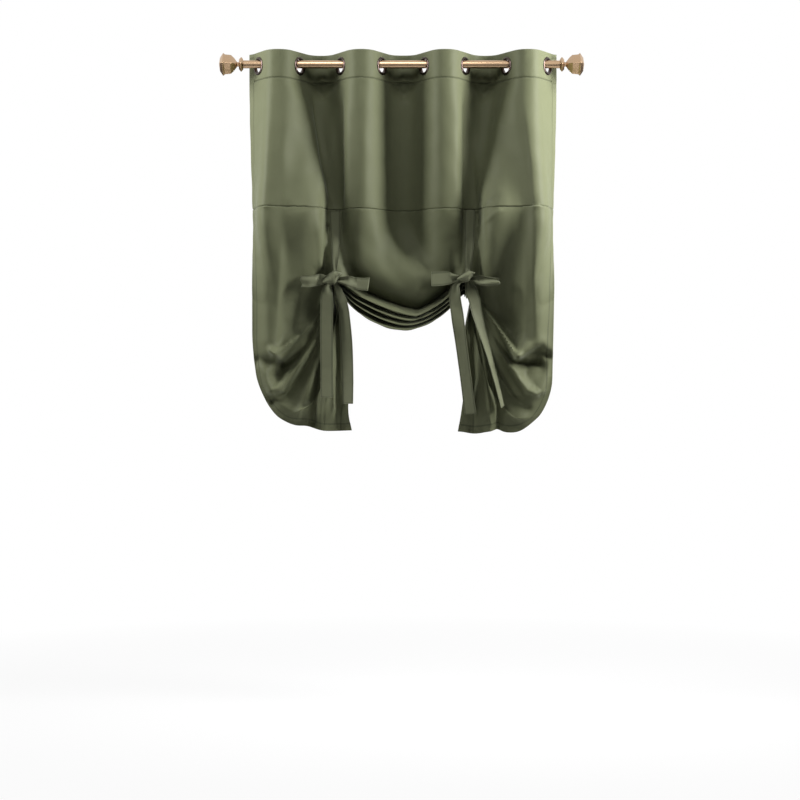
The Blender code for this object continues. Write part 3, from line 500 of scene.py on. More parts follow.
def falling(cloth, fall):
    """Place the cloth between the seam, fall 0, and the first fold, fall 1."""
    start = upper_cloth(cloth, np.array([SEAM_HEIGHT]), np.zeros(1))
    above = upper_cloth(cloth, np.array([HEADER_BOTTOM]), np.zeros(1))
    fold = gathered(cloth, np.zeros(1))
    fall = fall[:, None, None]
    length = start[..., 2:] - fold[..., 2:]
    slope = (start - above) * FALL_POWER / (HEADER_BOTTOM - SEAM_HEIGHT)
    places = start + (fold - start) * ease(fall) + slope * length * fall * (1 - fall) ** 2
    away = np.abs(cloth)
    near = ease((np.abs(away - TIE_PLACE) - NECK_HALF_CLOTH) / NECK_REACH)
    puff = np.where(away < TIE_PLACE, SWAG_PUFF, SIDE_PUFF) * near
    places[..., 1] -= puff * (fall ** 3 * (1 - fall) * 256 / 27)[..., 0]
    places[..., 2] = (start[..., 2:] - SEAM_GAP - (length - SEAM_GAP) * fall)[..., 0]
    return places


def filled(points, cloth, first, last):
    """Stretch the cloth of the sides straight over the hollow between two rows."""
    block = points[first:last + 1]
    fall = block[-1:, :, 2] - block[:1, :, 2]
    t = (block[..., 2] - block[:1, :, 2]) / fall
    slope = (block[1:2, :, 1] - block[:1, :, 1]) / (block[1:2, :, 2] - block[:1, :, 2]) * fall
    line = block[:1, :, 1] * (1 + 2 * t) * (1 - t) ** 2 + block[-1:, :, 1] * t * t * (3 - 2 * t)
    line += slope * t * (1 - t) ** 2
    out = np.maximum(block[..., 1] - line, 0) * ease((np.abs(cloth) - TIE_PLACE - 0.05) / 0.10)
    moved = points.copy()
    moved[first:last + 1, :, 1] -= out
    return moved


def swollen(points):
    """Push the gathered sides out to their full outline."""
    x, z = (points[..., 0] - HANG_OFFSET) / MM, -points[..., 2] / MM
    moved = points.copy()
    for across, down, right, fall, reach_across, reach_down in SWELLS:
        near = np.exp(-((x - across) / reach_across) ** 2 - ((z - down) / reach_down) ** 2) * MM
        moved[..., 0] += right * near
        moved[..., 2] -= fall * near
    return moved


def pressed(points, folds, share=1.0, axis=1):
    """Move points forward, or to the right, by the folds pressed into the cloth there."""
    x, z = points[..., 0] - HANG_OFFSET, -points[..., 2]
    forward = np.zeros(x.shape)
    for run, right, left in folds:
        run = np.array(run, float) * MM
        nearest, rise = np.full(x.shape, np.inf), np.zeros(x.shape)
        for start, end in zip(run[:-1], run[1:]):
            step = end[:2] - start[:2]
            length = np.hypot(*step)
            along = ((x - start[0]) * step[0] + (z - start[1]) * step[1]) / length ** 2
            t = np.clip(along, 0, 1)
            gap_x, gap_z = x - start[0] - t * step[0], z - start[1] - t * step[1]
            turn = (step[0] * gap_z - step[1] * gap_x) / length
            lean = np.clip(turn / np.maximum(np.hypot(gap_x, gap_z), 1e-9), -1, 1) / 2 + 0.5
            flank = (left * (1 - lean) + right * lean) * MM
            away = np.hypot(gap_x, gap_z) / flank
            closer = away < nearest
            nearest = np.where(closer, away, nearest)
            rise = np.where(closer, start[2] + (end[2] - start[2]) * t, rise)
        forward += rise * np.exp(-nearest ** 2)
    moved = points.copy()
    moved[..., axis] += forward * share * (-1 if axis == 1 else 1)
    return moved


def ripples(seed, u, v, pitch, count=5):
    """Sum a few slanting waves, the same each run, for a soft unevenness from -1 to 1."""
    draw = np.random.default_rng(seed)
    total = 0
    for _ in range(count):
        angle, phase, scale = draw.uniform(0, np.pi), draw.uniform(0, 2 * np.pi), draw.uniform(0.6, 1.6)
        total = total + np.sin((u * np.cos(angle) + v * np.sin(angle)) * 2 * np.pi / pitch * scale + phase)
    return total / count


def facing(points):
    """Give a grid's unit normals, on the room side where its rows run down the cloth."""
    down, across = np.gradient(points, axis=0), np.gradient(points, axis=1)
    normal = np.cross(down, across)
    normal /= np.maximum(np.linalg.norm(normal, axis=-1, keepdims=True), 1e-12)
    return normal


def seam_pull(seed, u, v):
    """Give what the seam does to the cloth beside it: its pucker, its roll to the back and its rise."""
    away = np.abs(v - SEAM_HEIGHT)
    pucker = SEAM_PUCKER * ripples(seed, u, v * 0.25, 0.024) * np.exp(-away / 0.016)
    roll = -SEAM_ROLL_DEPTH * np.clip((SEAM_ROLL_HEIGHT - away) / SEAM_ROLL_HEIGHT, 0, 1) ** 2
    rise = SEAM_WAVER * ripples(17, u, 0 * u, 0.045) * np.exp(-away / 0.012)
    return pucker, roll, rise


def side_hems(points, cloth, turned_in):
    """Add a hem to both side edges of a grid: cloth rolled to the back and laid on itself."""
    normal = facing(points)
    lanes, places = [], []
    for edge, way in ((0, 1), (-1, -1)):
        rim, out = points[:, edge], points[:, edge] - points[:, edge + way]
        out = out / np.linalg.norm(out, axis=-1, keepdims=True)
        back = -normal[:, edge] * (1 if np.median(normal[:, edge, 1]) < 0 else -1)
        beyond = rim + out * HEM_ROLL * 0.8
        lane = [beyond + back * HEM_ROLL * 0.5, beyond + back * HEM_ROLL * 1.5]
        place = [cloth[edge]] * 2
        for inward in np.linspace(0, turned_in, 5):
            at = cloth[edge] - np.sign(cloth[edge]) * inward
            i = np.clip(np.searchsorted(cloth, at), 1, len(cloth) - 1)
            mix = (at - cloth[i - 1]) / (cloth[i] - cloth[i - 1])
            spot = points[:, i - 1] * (1 - mix) + points[:, i] * mix
            away = normal[:, i - 1] * (1 - mix) + normal[:, i] * mix
            away = -away * (1 if np.median(normal[:, edge, 1]) < 0 else -1)
            lane.append(spot + away * HEM_ROLL * 2)
            place.append(cloth[edge] + np.sign(cloth[edge]) * inward)
        lanes.append(np.stack(lane, axis=1))
        places.append(np.array(place))
    grid = np.concatenate([lanes[0][:, ::-1], points, lanes[1]], axis=1)
    return grid, np.concatenate([places[0][::-1], cloth, places[1]])


def add_object(name, mesh, material):
    """Add a mesh to the scene as a named object of one material."""
    piece = bpy.data.objects.new(name, mesh)
    bpy.context.scene.collection.objects.link(piece)
    mesh.materials.append(material)
    return piece


def sheets_mesh(name, grids, drop=None):
    """Make one mesh from grids of (points, u, v); drop says which points lie in a hole."""
    verts, faces, uvs, start = [], [], [], 0
    for points, u, v in grids:
        rows, columns = points.shape[:2]
        index = np.arange(rows * columns).reshape(rows, columns) + start
        corners = [index[:-1, :-1], index[1:, :-1], index[1:, 1:], index[:-1, 1:]]
        quads = np.stack(corners, axis=-1).reshape(-1, 4)
        if drop is not None:
            middle = (points[:-1, :-1] + points[1:, 1:] + points[1:, :-1] + points[:-1, 1:]) / 4
            quads = quads[~drop(middle.reshape(-1, 3))]
        verts.append(points.reshape(-1, 3))
        faces.append(quads)
        uvs.append(stacked(u + 0 * points[..., 0], v + 0 * points[..., 0]).reshape(-1, 2))
        start += rows * columns
    verts, faces, uvs = np.concatenate(verts), np.concatenate(faces), np.concatenate(uvs)
    used = np.unique(faces)
    renumber = np.zeros(len(verts), int)
    renumber[used] = np.arange(len(used))
    mesh = bpy.data.meshes.new(name)
    mesh.from_pydata(verts[used].tolist(), [], renumber[faces].tolist())
    layer = mesh.uv_layers.new(name="cloth")
    layer.data.foreach_set("uv", uvs[faces.ravel()].astype(np.float32).ravel())
    mesh.update()
    return mesh


def settled(piece, sharp):
    """Make a piece's modifiers real, and shade it smooth up to edges sharper than an angle."""
    bpy.context.view_layer.update()
    solid = bpy.data.meshes.new_from_object(piece.evaluated_get(bpy.context.evaluated_depsgraph_get()))
    piece.modifiers.clear()
    piece.data = solid
    solid.shade_smooth()
    solid.set_sharp_from_angle(angle=math.radians(sharp))
    return solid


def add_cloth(name, grids, material, thickness, holed=False, kept=1.0):
    """Add a piece of cloth, with its thickness half to each side of the grids.

    A holed one has the grommets' holes, and kept is the share of its faces that stays.
    """
    mesh = sheets_mesh(name, grids, in_holes if holed else None)
    if holed:
        round_holes(mesh)
    piece = add_object(name, mesh, material)
    if kept < 1:
        thin = piece.modifiers.new("fewer", "DECIMATE")
        thin.ratio = kept
    step = piece.modifiers.new("thickness", "SOLIDIFY")
    step.thickness = thickness
    step.offset = 0
    step.use_even_offset = False
    settled(piece, 50)
    return piece


class Wire:
    """A node's output that Python's arithmetic turns into Math nodes."""

    def __init__(self, nodes, socket):
        self.nodes = nodes
        self.socket = socket

    def maths(self, operation, *others):
        node = self.nodes.add("ShaderNodeMath", {"operation": operation}, {})
        for slot, value in zip(node.inputs, (self, *others)):
            self.nodes.join(value, slot)
        return Wire(self.nodes, node.outputs[0])

    def __add__(self, other):
        return self.maths("ADD", other)

    __radd__ = __add__

    def __mul__(self, other):
        return self.maths("MULTIPLY", other)

    __rmul__ = __mul__

    def __sub__(self, other):
        return self.maths("SUBTRACT", other)

    def __rsub__(self, other):
        return (self * -1) + other

    def __truediv__(self, other):
        return self.maths("DIVIDE", other)

    def __pow__(self, other):
        return self.maths("POWER", other)

    def __abs__(self):
        return self.maths("ABSOLUTE")

    def sine(self):
        return self.maths("SINE")

    def at_least(self, other):
        return self.maths("MAXIMUM", other)

    def limited(self):
        return self.at_least(0.0).maths("MINIMUM", 1.0)


class Nodes:
    """A node tree under construction."""

    def __init__(self, tree):
        self.tree = tree

    def join(self, value, slot):
        """Link a wire to a socket, or set a number or a colour on it."""
        if isinstance(value, Wire):
            self.tree.links.new(value.socket, slot)
        else:
            slot.default_value = value

    def add(self, kind, settings, inputs):
        """Add a node of one type, with its settings first and then the values of its sockets."""
        node = self.tree.nodes.new(kind)
        for name, value in settings.items():
            setattr(node, name, value)
        for name, value in inputs.items():
            self.join(value, node.inputs[name])
        return node

    def wire(self, kind, settings, inputs, output):
        return Wire(self, self.add(kind, settings, inputs).outputs[output])

    def place(self, space):
        """Give x, y and z of a texture space, which for UV are u, v and 0."""
        vector = self.wire("ShaderNodeTexCoord", {}, {}, space)
        parts = self.add("ShaderNodeSeparateXYZ", {}, {"Vector": vector})
        return [Wire(self, output) for output in parts.outputs]

    def mixed(self, share, first, second):
        """Mix two shaders by a share."""
        mix = self.add("ShaderNodeMixShader", {}, {})
        for value, slot in zip((share, first, second), mix.inputs):
            self.join(value, slot)
        return Wire(self, mix.outputs[0])


class Finish(Nodes):
    """A material under construction, with one Principled shader."""

    def __init__(self, name, **settings):
        self.material = bpy.data.materials.new(name)
        self.material.use_nodes = True
        super().__init__(self.material.node_tree)
        self.shader = self.tree.nodes["Principled BSDF"]
        self.feed(**settings)

    def noise(self, scale, detail=3.0):
        """Give a noise from 0 to 1 through the object's own space, in metres."""
        vector = self.wire("ShaderNodeTexCoord", {}, {}, "Object")
        inputs = {"Vector": vector, "Scale": scale, "Detail": detail}
        return self.wire("ShaderNodeTexNoise", {}, inputs, "Fac")

    def blend(self, share, first, second):
        """Mix two colours by a share."""
        node = self.add("ShaderNodeMix", {"data_type": "RGBA"}, {})
        self.join(share, node.inputs[0])
        self.join(first, node.inputs[6])
        self.join(second, node.inputs[7])
        return Wire(self, node.outputs[2])

    def feed(self, **inputs):
        """Join values to the shader's sockets, named with _ for each space."""
        for name, value in inputs.items():
            self.join(value, self.shader.inputs[name.replace("_", " ")])

    def bump(self, height, distance):
        """Raise the surface by a height from 0 to 1 times a distance in metres."""
        inputs = {"Height": height, "Distance": distance, "Strength": 1.0}
        self.feed(Normal=self.wire("ShaderNodeBump", {}, inputs, "Normal"))


def rgb(red, green, blue):
    """Give a colour with its full alpha."""
    return (red, green, blue, 1.0)


def cloth_finish(name, light, dark, rows=(), lanes=()):
    """Make the satin-smooth cloth, with stitch lines along rows of v and lanes of u, and painted shade
    darkening the groove of each line.
    """
    finish = Finish(name, Sheen_Weight=0.20, Sheen_Roughness=0.35, Specular_IOR_Level=0.10)
    finish.feed(Sheen_Tint=rgb(0.86, 0.90, 0.78))
    u, v, _ = finish.place("UV")
    tone = finish.noise(7.0) * 0.7 + finish.noise(60.0) * 0.3
    warp = (u * (2 * math.pi / WARP_PITCH)).sine()
    weft = (v * (2 * math.pi / WEFT_PITCH)).sine()
    weave = warp * weft * 0.25 + 0.5
    slub = finish.noise(900.0, 1.0)
    height = weave * 0.12 + slub * 0.10
    colour = finish.blend((tone * 0.6 + weave * 0.2).limited(), rgb(*dark), rgb(*light))
    # Painted shade: a deep copy of the dark colour, which the stitch grooves are darkened towards
    shade = rgb(*(part * 0.35 for part in dark))
    for line, along, across in [(row, u, v) for row in rows] + [(lane, v, u) for lane in lanes]:
        near = (1 - abs(across - line) / STITCH_HALF_WIDTH).limited()
        dash = ((along * (2 * math.pi / STITCH_PITCH)).sine() * 2 + 1.2).limited()
        groove = (1 - abs(across - line) / GROOVE_HALF_WIDTH).limited()
        height = height + near * dash * 0.9 - groove * 0.55
        # Paint shade into the groove beside each stitch line, leaving the stitches themselves lighter
        colour = finish.blend((groove * 0.75 - near * dash * 0.5).limited(), colour, shade)
    finish.feed(Base_Color=colour, Roughness=finish.noise(30.0) * 0.10 + 0.50)
    finish.bump(height, 0.0006)
    return finish.material


def metal_finish(name, light, dark, roughness, grain):
    """Make a plated metal with a fine grain and a faint wear; more grain is a finer one."""
    finish = Finish(name, Metallic=1.0)
    spots = finish.noise(grain, 4.0)
    wear = finish.noise(35.0, 3.0)
    finish.feed(
        Base_Color=finish.blend((wear * 0.7 + spots * 0.3).limited(), rgb(*dark), rgb(*light)),
        Roughness=spots * 0.10 + (roughness - 0.05),
    )
    finish.bump(spots, 0.00008)
    return finish.material


def lining_finish():
    """Make the white non-woven strip inside the header."""
    finish = Finish("stiffener_strip", Specular_IOR_Level=0.2)
    fibres = finish.noise(700.0, 5.0)
    colour = finish.blend(fibres, rgb(0.66, 0.65, 0.61), rgb(0.80, 0.79, 0.75))
    finish.feed(Base_Color=colour, Roughness=fibres * 0.1 + 0.85)
    finish.bump(fibres, 0.0004)
    return finish.material


def grommet_seats():
    """Give each grommet's middle and its direction square to the header, from left to right."""
    seats = []
    for number in range(1, GROMMET_COUNT + 1):
        low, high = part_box(f"grommet_{number}_front")
        place = (number - (GROMMET_COUNT + 1) / 2) * GROMMET_PITCH
        angle = np.interp(abs(place), FINE, HEADER_ANGLES) * math.copysign(1, place)
        to_back = Vector((-math.sin(angle), math.cos(angle), 0))
        height = (low.z + high.z) / 2
        spot = upper_cloth(np.array([place]), np.array([height]), np.zeros(1))[0, 0]
        seats.append((Vector(spot), to_back))
    return seats


def in_holes(points):
    """Say which points lie in a grommet's hole."""
    inside = np.zeros(len(points), bool)
    for spot, to_back in grommet_seats():
        away = points - np.array(spot)
        along = away @ np.array(to_back)
        radial = np.linalg.norm(away - along[:, None] * np.array(to_back), axis=-1)
        inside |= (radial < HOLE_RADIUS + 0.001) & (np.abs(along) < HOLE_REACH)
    return inside


def round_holes(mesh):
    """Move the points round each grommet's hole out to a true circle."""
    form = bmesh.new()
    form.from_mesh(mesh)
    rims = [v for v in form.verts if v.is_boundary]
    for spot, to_back in grommet_seats():
        for vertex in rims:
            away = vertex.co - spot
            along = away.dot(to_back)
            radial = away - to_back * along
            if radial.length < HOLE_RADIUS + 0.008 and abs(along) < HOLE_REACH:
                vertex.co = spot + to_back * along + radial.normalized() * (HOLE_RADIUS + 0.0005)
    form.to_mesh(mesh)
    form.free()


def spaced(start, end, step):
    """Give even places from start to end."""
    return np.linspace(start, end, max(int(round(abs(end - start) / step)), 1) + 1)


def allowance(rows, edge, normal):
    """Lay a seam allowance behind a sheet's edge: its points and their places along the cloth."""
    points = [edge - normal * behind + np.array([0, 0, rise]) for rise, behind, _ in rows]
    return np.array(points), SEAM_HEIGHT + np.array([place for _, _, place in rows])


def upper_panel(material):
    """Make the cloth from the header's back layer over its top and down to the seam."""
    cloth = spaced(-HALF_CLOTH, HALF_CLOTH, COLUMN_STEP)
    half = HEADER_FOLD / 2
    back = spaced(HEADER_BOTTOM, HEADER_TOP - half, 0.006)
    turn = np.radians([30, 60, 90, 120, 150])
    front = np.concatenate([
        spaced(HEADER_TOP - half, HEADER_BOTTOM + 0.010, 0.0045)[:-1],
        spaced(HEADER_BOTTOM + 0.010, HEADER_BOTTOM - 0.008, 0.0012)[:-1],
        spaced(HEADER_BOTTOM - 0.008, SEAM_HEIGHT + 0.012, 0.005)[:-1],
        spaced(SEAM_HEIGHT + 0.012, SEAM_HEIGHT + 0.0008, 0.0016),
    ])
    height = np.concatenate([back, HEADER_TOP - half + np.sin(turn) * half, front])
    offset = np.concatenate([back * 0 + HEADER_FOLD, half + np.cos(turn) * half, front * 0])
    points = upper_cloth(cloth, height, offset)
    fold = len(back) + len(turn)
    length = np.concatenate([[0], np.cumsum(np.hypot(np.diff(height), np.diff(offset)))])
    length -= length[fold] + HEADER_TOP - half
    u, v = np.broadcast_arrays(cloth[None, :], height[fold:, None])
    normal = facing(points[fold:])
    # The header's stitch line, the puckers beside it and beside the seam, and soft unevenness,
    # all of it quiet round the grommets
    groove = -0.0016 * np.exp(-(((v - HEADER_STITCH) / 0.0028) ** 2))
    pucker = 0.0007 * ripples(3, u, v * 0.3, 0.022) * np.exp(-np.abs(v - HEADER_STITCH) / 0.014)
    seam_pucker, roll, rise = seam_pull(5, u, v)
    pucker += seam_pucker
    soft = 0.0011 * ripples(7, u, v, 0.11) * ease((HEADER_TOP - v) / 0.05)
    header = 0.0006 * ripples(9, u, v, 0.05) * ease((v - HEADER_STITCH) / 0.01)
    quiet = np.ones_like(u)
    for place in grommet_places():
        for spot in (-place, place):
            quiet *= ease((np.hypot(u - spot, v) - GROMMET_RING_RADIUS) / 0.012)
    move = groove + (pucker + soft + header) * quiet
    points[fold:] += normal * (move + roll)[..., None]
    points[fold:, :, 2] += rise
    in_header = ease((HEADER_TOP - 0.020 - v) / 0.03) * ease((v - HEADER_STITCH) / 0.004)
    below_header = ease((HEADER_STITCH - v) / 0.006)
    points[fold:] = pressed(points[fold:], HEADER_FOLDS, in_header * quiet)
    points[fold:] = pressed(points[fold:], UPPER_FOLDS, below_header)
    points[fold:] = pressed(points[fold:], UPPER_DRAWS, below_header, axis=0)
    behind, places = allowance(UPPER_ALLOWANCE, points[-1], normal[-1])
    points = np.concatenate([points, behind])
    v = np.concatenate([length[:fold], height[fold:], places])
    points, u = side_hems(points, cloth, SIDE_HEM)
    grid = (points, u[None, :], v[:, None])
    return add_cloth("curtain_top", [grid], material, CLOTH_THICKNESS, holed=True)


def header_lining(material):
    """Make the strip that lies inside the folded header."""
    cloth = spaced(-HALF_CLOTH + 0.01, HALF_CLOTH - 0.01, COLUMN_STEP)
    height = spaced(HEADER_TOP - STIFFENER_MARGIN, HEADER_BOTTOM + STIFFENER_MARGIN + 0.003, COLUMN_STEP)
    points = upper_cloth(cloth, height, height * 0 + HEADER_FOLD / 2)
    grid = (points, cloth[None, :], height[:, None])
    return add_cloth("header_strip", [grid], material, STIFFENER_THICKNESS * 0.5, holed=True)


def lower_columns():
    """Give the cloth places of the lower panel's columns, closer at the necks."""
    keys = [(0, 0.0), (0.30, TIE_PLACE - 0.05), (0.40, TIE_PLACE), (0.50, TIE_PLACE + 0.05), (1, HALF_CLOTH)]
    half = smooth(keys, np.linspace(0, 1, 176))
    return np.concatenate([-half[:0:-1], half])


def lower_panel(material):
    """Make the gathered cloth from the seam to the hem, and give its points."""
    cloth = lower_columns()
    fall = np.concatenate([np.linspace(0, 0.02, 8)[:-1], np.linspace(0.02, 1, 80)[:-1]])
    pleats = np.linspace(0, PLEATS, 150)
    points = np.concatenate([falling(cloth, fall), gathered(cloth, pleats)])
    crest = len(fall) + int(np.searchsorted(pleats, 0.5))
    points = swollen(filled(points, cloth, int(np.searchsorted(fall, 0.30)), crest))
    steps = np.linalg.norm(np.diff(points, axis=0), axis=-1).mean(axis=1)
    v = SEAM_HEIGHT - np.concatenate([[0], np.cumsum(steps)]) * LOWER_LENGTH / steps.sum()
    grid_u, grid_v = np.broadcast_arrays(cloth[None, :], v[:, None])
    normal = facing(points)
    drop = SEAM_HEIGHT - grid_v
    pucker, roll, rise = seam_pull(11, grid_u, grid_v)
    soft = 0.0012 * ripples(13, grid_u, grid_v, 0.12) * ease(drop / 0.04)
    points = points + normal * (pucker + soft + roll)[..., None]
    points[..., 2] += rise
    points = pressed(points, UPPER_FOLDS, ease(1 - drop / 0.02))
    points = pressed(points, UPPER_DRAWS, ease(1 - drop / 0.02), axis=0)
    points = pressed(points, LOWER_FOLDS)
    behind, places = allowance(LOWER_ALLOWANCE, points[0], normal[0])
    points = np.concatenate([behind, points])
    v = np.concatenate([places, v])
    points, u = side_hems(points, cloth, SIDE_HEM)
    grid = (points, u[None, :], v[:, None])
    bottom = add_cloth("curtain_bottom", [grid], material, CLOTH_THICKNESS, kept=LOWER_KEPT)
    return bottom, points.reshape(-1, 3)


def turned(name, profile, steps, material, spot=(0, 0, 0), axis=(0, 0, 1), bevel=0.0):
    """Turn a profile of (radius, height), from top to bottom down its outer side, about an axis."""
    mesh = bpy.data.meshes.new(name)
    closed = profile[0][0] > 0
    count = len(profile)
    edges = [(i, (i + 1) % count) for i in range(count if closed else count - 1)]
    mesh.from_pydata([(radius, 0, height) for radius, height in profile], edges, [])
    piece = add_object(name, mesh, material)
    screw = piece.modifiers.new("turn", "SCREW")
    screw.steps = screw.render_steps = steps
    screw.use_merge_vertices = True
    screw.merge_threshold = 0.00001
    if bevel:
        edge = piece.modifiers.new("edge", "BEVEL")
        edge.width = bevel
        edge.segments = 3
        edge.limit_method = "ANGLE"
        edge.angle_limit = math.radians(14)
    solid = settled(piece, 35)
    turn = Vector((0, 0, 1)).rotation_difference(Vector(axis)).to_matrix().to_4x4()
    solid.transform(Matrix.Translation(Vector(spot)) @ turn)
    return piece


def rounded(points, radius, steps=4):
    """Round the corners of a closed profile of (radius, height) with short arcs."""
    result = []
    for i, corner in enumerate(points):
        corner = Vector(corner)
        before, after = Vector(points[i - 1]), Vector(points[(i + 1) % len(points)])
        start = corner + (before - corner).normalized() * min(radius, (before - corner).length * 0.45)
        end = corner + (after - corner).normalized() * min(radius, (after - corner).length * 0.45)
        for step in range(steps + 1):
            t = step / steps
            result.append(tuple(start * (1 - t) ** 2 + corner * 2 * t * (1 - t) + end * t * t))
    return result


def metalwork(rod_metal, ring_metal):
    """Make the rod, collars, finials and grommets with their fine edges."""
    bore = ROD_RADIUS - ROD_WALL
    profile = [(ROD_RADIUS, ROD_HALF), (ROD_RADIUS, -ROD_HALF), (bore, -ROD_HALF), (bore, ROD_HALF)]
    tube = turned("tube", rounded(profile, 0.0004), 96, rod_metal, axis=(1, 0, 0))
    pieces = [(tube, ["rod"], "rod_metal")]
    plug = bore - FIT
    for side, name in ((-1, "left"), (1, "right")):
        height = COLLAR_LENGTH + FIT
        outline = [
            (0, -PLUG_LENGTH), (plug, -PLUG_LENGTH), (plug, height), (FINIAL_NECK_RADIUS, height + FIT),
        ]
        for radius, length in FINIAL_STEPS:
            height += length
            outline.append((radius, height))
        outline.append((0, height + FINIAL_CROWN))
        spot, axis = (side * ROD_HALF, 0, 0), (side, 0, 0)
        end = turned(f"end_knob_{name}", outline[::-1], 4, rod_metal, spot, axis, bevel=0.0009)
        middle = COLLAR_LENGTH / 2
        ring = [
            (COLLAR_END_RADIUS, COLLAR_LENGTH), (COLLAR_PEAK_RADIUS, middle + COLLAR_PEAK_LENGTH / 2),
            (COLLAR_PEAK_RADIUS, middle - COLLAR_PEAK_LENGTH / 2), (COLLAR_END_RADIUS, FIT),
            (plug + FIT, FIT), (plug + FIT, COLLAR_LENGTH),
        ]
        collar = turned(f"end_collar_{name}", ring, 4, rod_metal, spot, axis, bevel=0.0006)
        pieces.append((end, [f"finial_{name}"], "rod_metal"))
        pieces.append((collar, [f"finial_collar_{name}"], "rod_metal"))
    face = -CLOTH_THICKNESS / 2 - 0.0002
    back = HEADER_FOLD - face
    hole, rim, crest = GROMMET_HOLE_RADIUS, GROMMET_RING_RADIUS, GROMMET_RING_HEIGHT
    middle, half = (hole + rim) / 2, (rim - hole) / 2
    arc = np.linspace(0, math.pi, 13)
    front_ring = [(middle - half * math.cos(a), face - crest * math.sin(a) ** 0.8) for a in arc]
    barrel = hole + BARREL_WALL
    front_ring = front_ring[::-1] + [(hole, BARREL_BACK), (barrel, BARREL_BACK), (barrel, face)]
    inner = barrel + FIT
    middle, half = (inner + rim) / 2, (rim - inner) / 2
    back_ring = [(middle - half * math.cos(a), back + crest * 0.8 * math.sin(a)) for a in arc]
    for number, (spot, to_back) in enumerate(grommet_seats(), start=1):
        front = turned(f"eyelet_{number}", front_ring[::-1], 64, ring_metal, spot, to_back)
        washer = turned(f"eyelet_washer_{number}", back_ring, 64, ring_metal, spot, to_back)
        pieces.append((front, [f"grommet_{number}_front"], "ring_metal"))
        pieces.append((washer, [f"grommet_{number}_back"], "ring_metal"))
    return pieces


def stage():
    """Make the floor, lights, world and camera."""
    scene = bpy.context.scene
    bpy.ops.mesh.primitive_grid_add(
        x_subdivisions=8, y_subdivisions=8, size=FLOOR_SIZE, location=(0, 0, FLOOR_HEIGHT),
    )
    floor = bpy.context.object
    floor.name = "floor"
    finish = Finish("pale_floor", Roughness=0.9)
    finish.feed(Base_Color=rgb(0.86, 0.86, 0.86))
    seen = finish.wire("ShaderNodeLightPath", {}, {}, "Is Camera Ray")
    x, y, _ = finish.place("Object")
    far = ((x * x + y * y) ** 0.5 * 0.12 + 0.70).limited()
    white = finish.wire("ShaderNodeEmission", {}, {"Color": rgb(1, 1, 1), "Strength": 1.0}, 0)
    surface = finish.mixed(seen * far, Wire(finish, finish.shader.outputs[0]), white)
    finish.join(surface, finish.tree.nodes["Material Output"].inputs[0])
    floor.data.materials.append(finish.material)

    world = bpy.data.worlds.new("studio")
    world.use_nodes = True
    scene.world = world
    sky = Nodes(world.node_tree)
    path = sky.add("ShaderNodeLightPath", {}, {})
    seen, through, mirrored = (
        Wire(sky, path.outputs[kind]) for kind in ("Is Camera Ray", "Is Transmission Ray", "Is Glossy Ray")
    )
    shown = seen.at_least(through).at_least(mirrored)
    soft = sky.tree.nodes["Background"]
    sky.join(rgb(0.96, 0.98, 1.0), soft.inputs["Color"])
    sky.join(WORLD_LIGHT, soft.inputs["Strength"])
    white = sky.wire("ShaderNodeBackground", {}, {"Color": rgb(1, 1, 1)}, 0)
    surround = sky.mixed(shown, Wire(sky, soft.outputs[0]), white)
    sky.join(surround, sky.tree.nodes["World Output"].inputs[0])

    for name, place, aim, width, height, power in LAMPS:
        lamp = bpy.data.lights.new(name, "AREA")
        lamp.shape = "RECTANGLE"
        lamp.energy = power
        lamp.size = width
        lamp.size_y = height
        light = bpy.data.objects.new(name, lamp)
        scene.collection.objects.link(light)
        light.location = place
        light.rotation_euler = (Vector(aim) - Vector(place)).to_track_quat("-Z", "Y").to_euler()
        light.visible_camera = False

    lens = bpy.data.cameras.new("camera")
    lens.lens = CAMERA_LENS
    camera = bpy.data.objects.new("camera", lens)
    scene.collection.objects.link(camera)
    camera.location = CAMERA_PLACE
    camera.rotation_euler = (math.pi / 2, 0, 0)
    scene.camera = camera
    scene.view_settings.view_transform = "Standard"


# The ribbons, as seen from the room, in millimetres across and down from the middle of
# the knot: each station gives the places of the ribbon's two edges.
STRAPS = {
    -1: [
        (-24, -219, 10, -219), (-22, -176, 10, -176), (-18, -128, 9, -128), (-15, -80, 7, -80),
        (-13, -48, 3, -48), (-11, -25, 1, -25), (-10, -6, -1, -6),
    ],
    1: [
        (-7, -219, 26, -219), (-8, -160, 24, -160), (-8, -106, 21, -106), (-8, -51, 14, -51),
        (-7, -26, 9, -26), (-6, -6, 4, -6),
    ],
}
# Each loop's upper and lower edge from the knot out to its end
LOOPS = {
    (-1, -1): [
        (-12, -3, -12, 8), (-30, -9, -30, 13), (-53, -16, -52, 21), (-68, -10, -68, 24), (-90, -8, -89, 27),
        (-110, -7, -108, 27),
    ],
    (-1, 1): [
        (-4, -2, -4, 8), (17, -6, 15, 15), (38, -9, 36, 24), (60, -5, 58, 31), (82, -3, 80, 36),
        (103, -4, 98, 37),
    ],
    (1, -1): [
        (-6, 0, -6, 8), (-26, -5, -24, 11), (-48, -11, -42, 17), (-66, -18, -60, 24), (-90, -17, -82, 28),
        (-113, -15, -113, 29),
    ],
    (1, 1): [
        (6, 1, 6, 8), (22, -1, 20, 16), (41, -3, 37, 26), (62, 1, 55, 29), (82, 4, 76, 28), (101, 8, 94, 26),
    ],
}
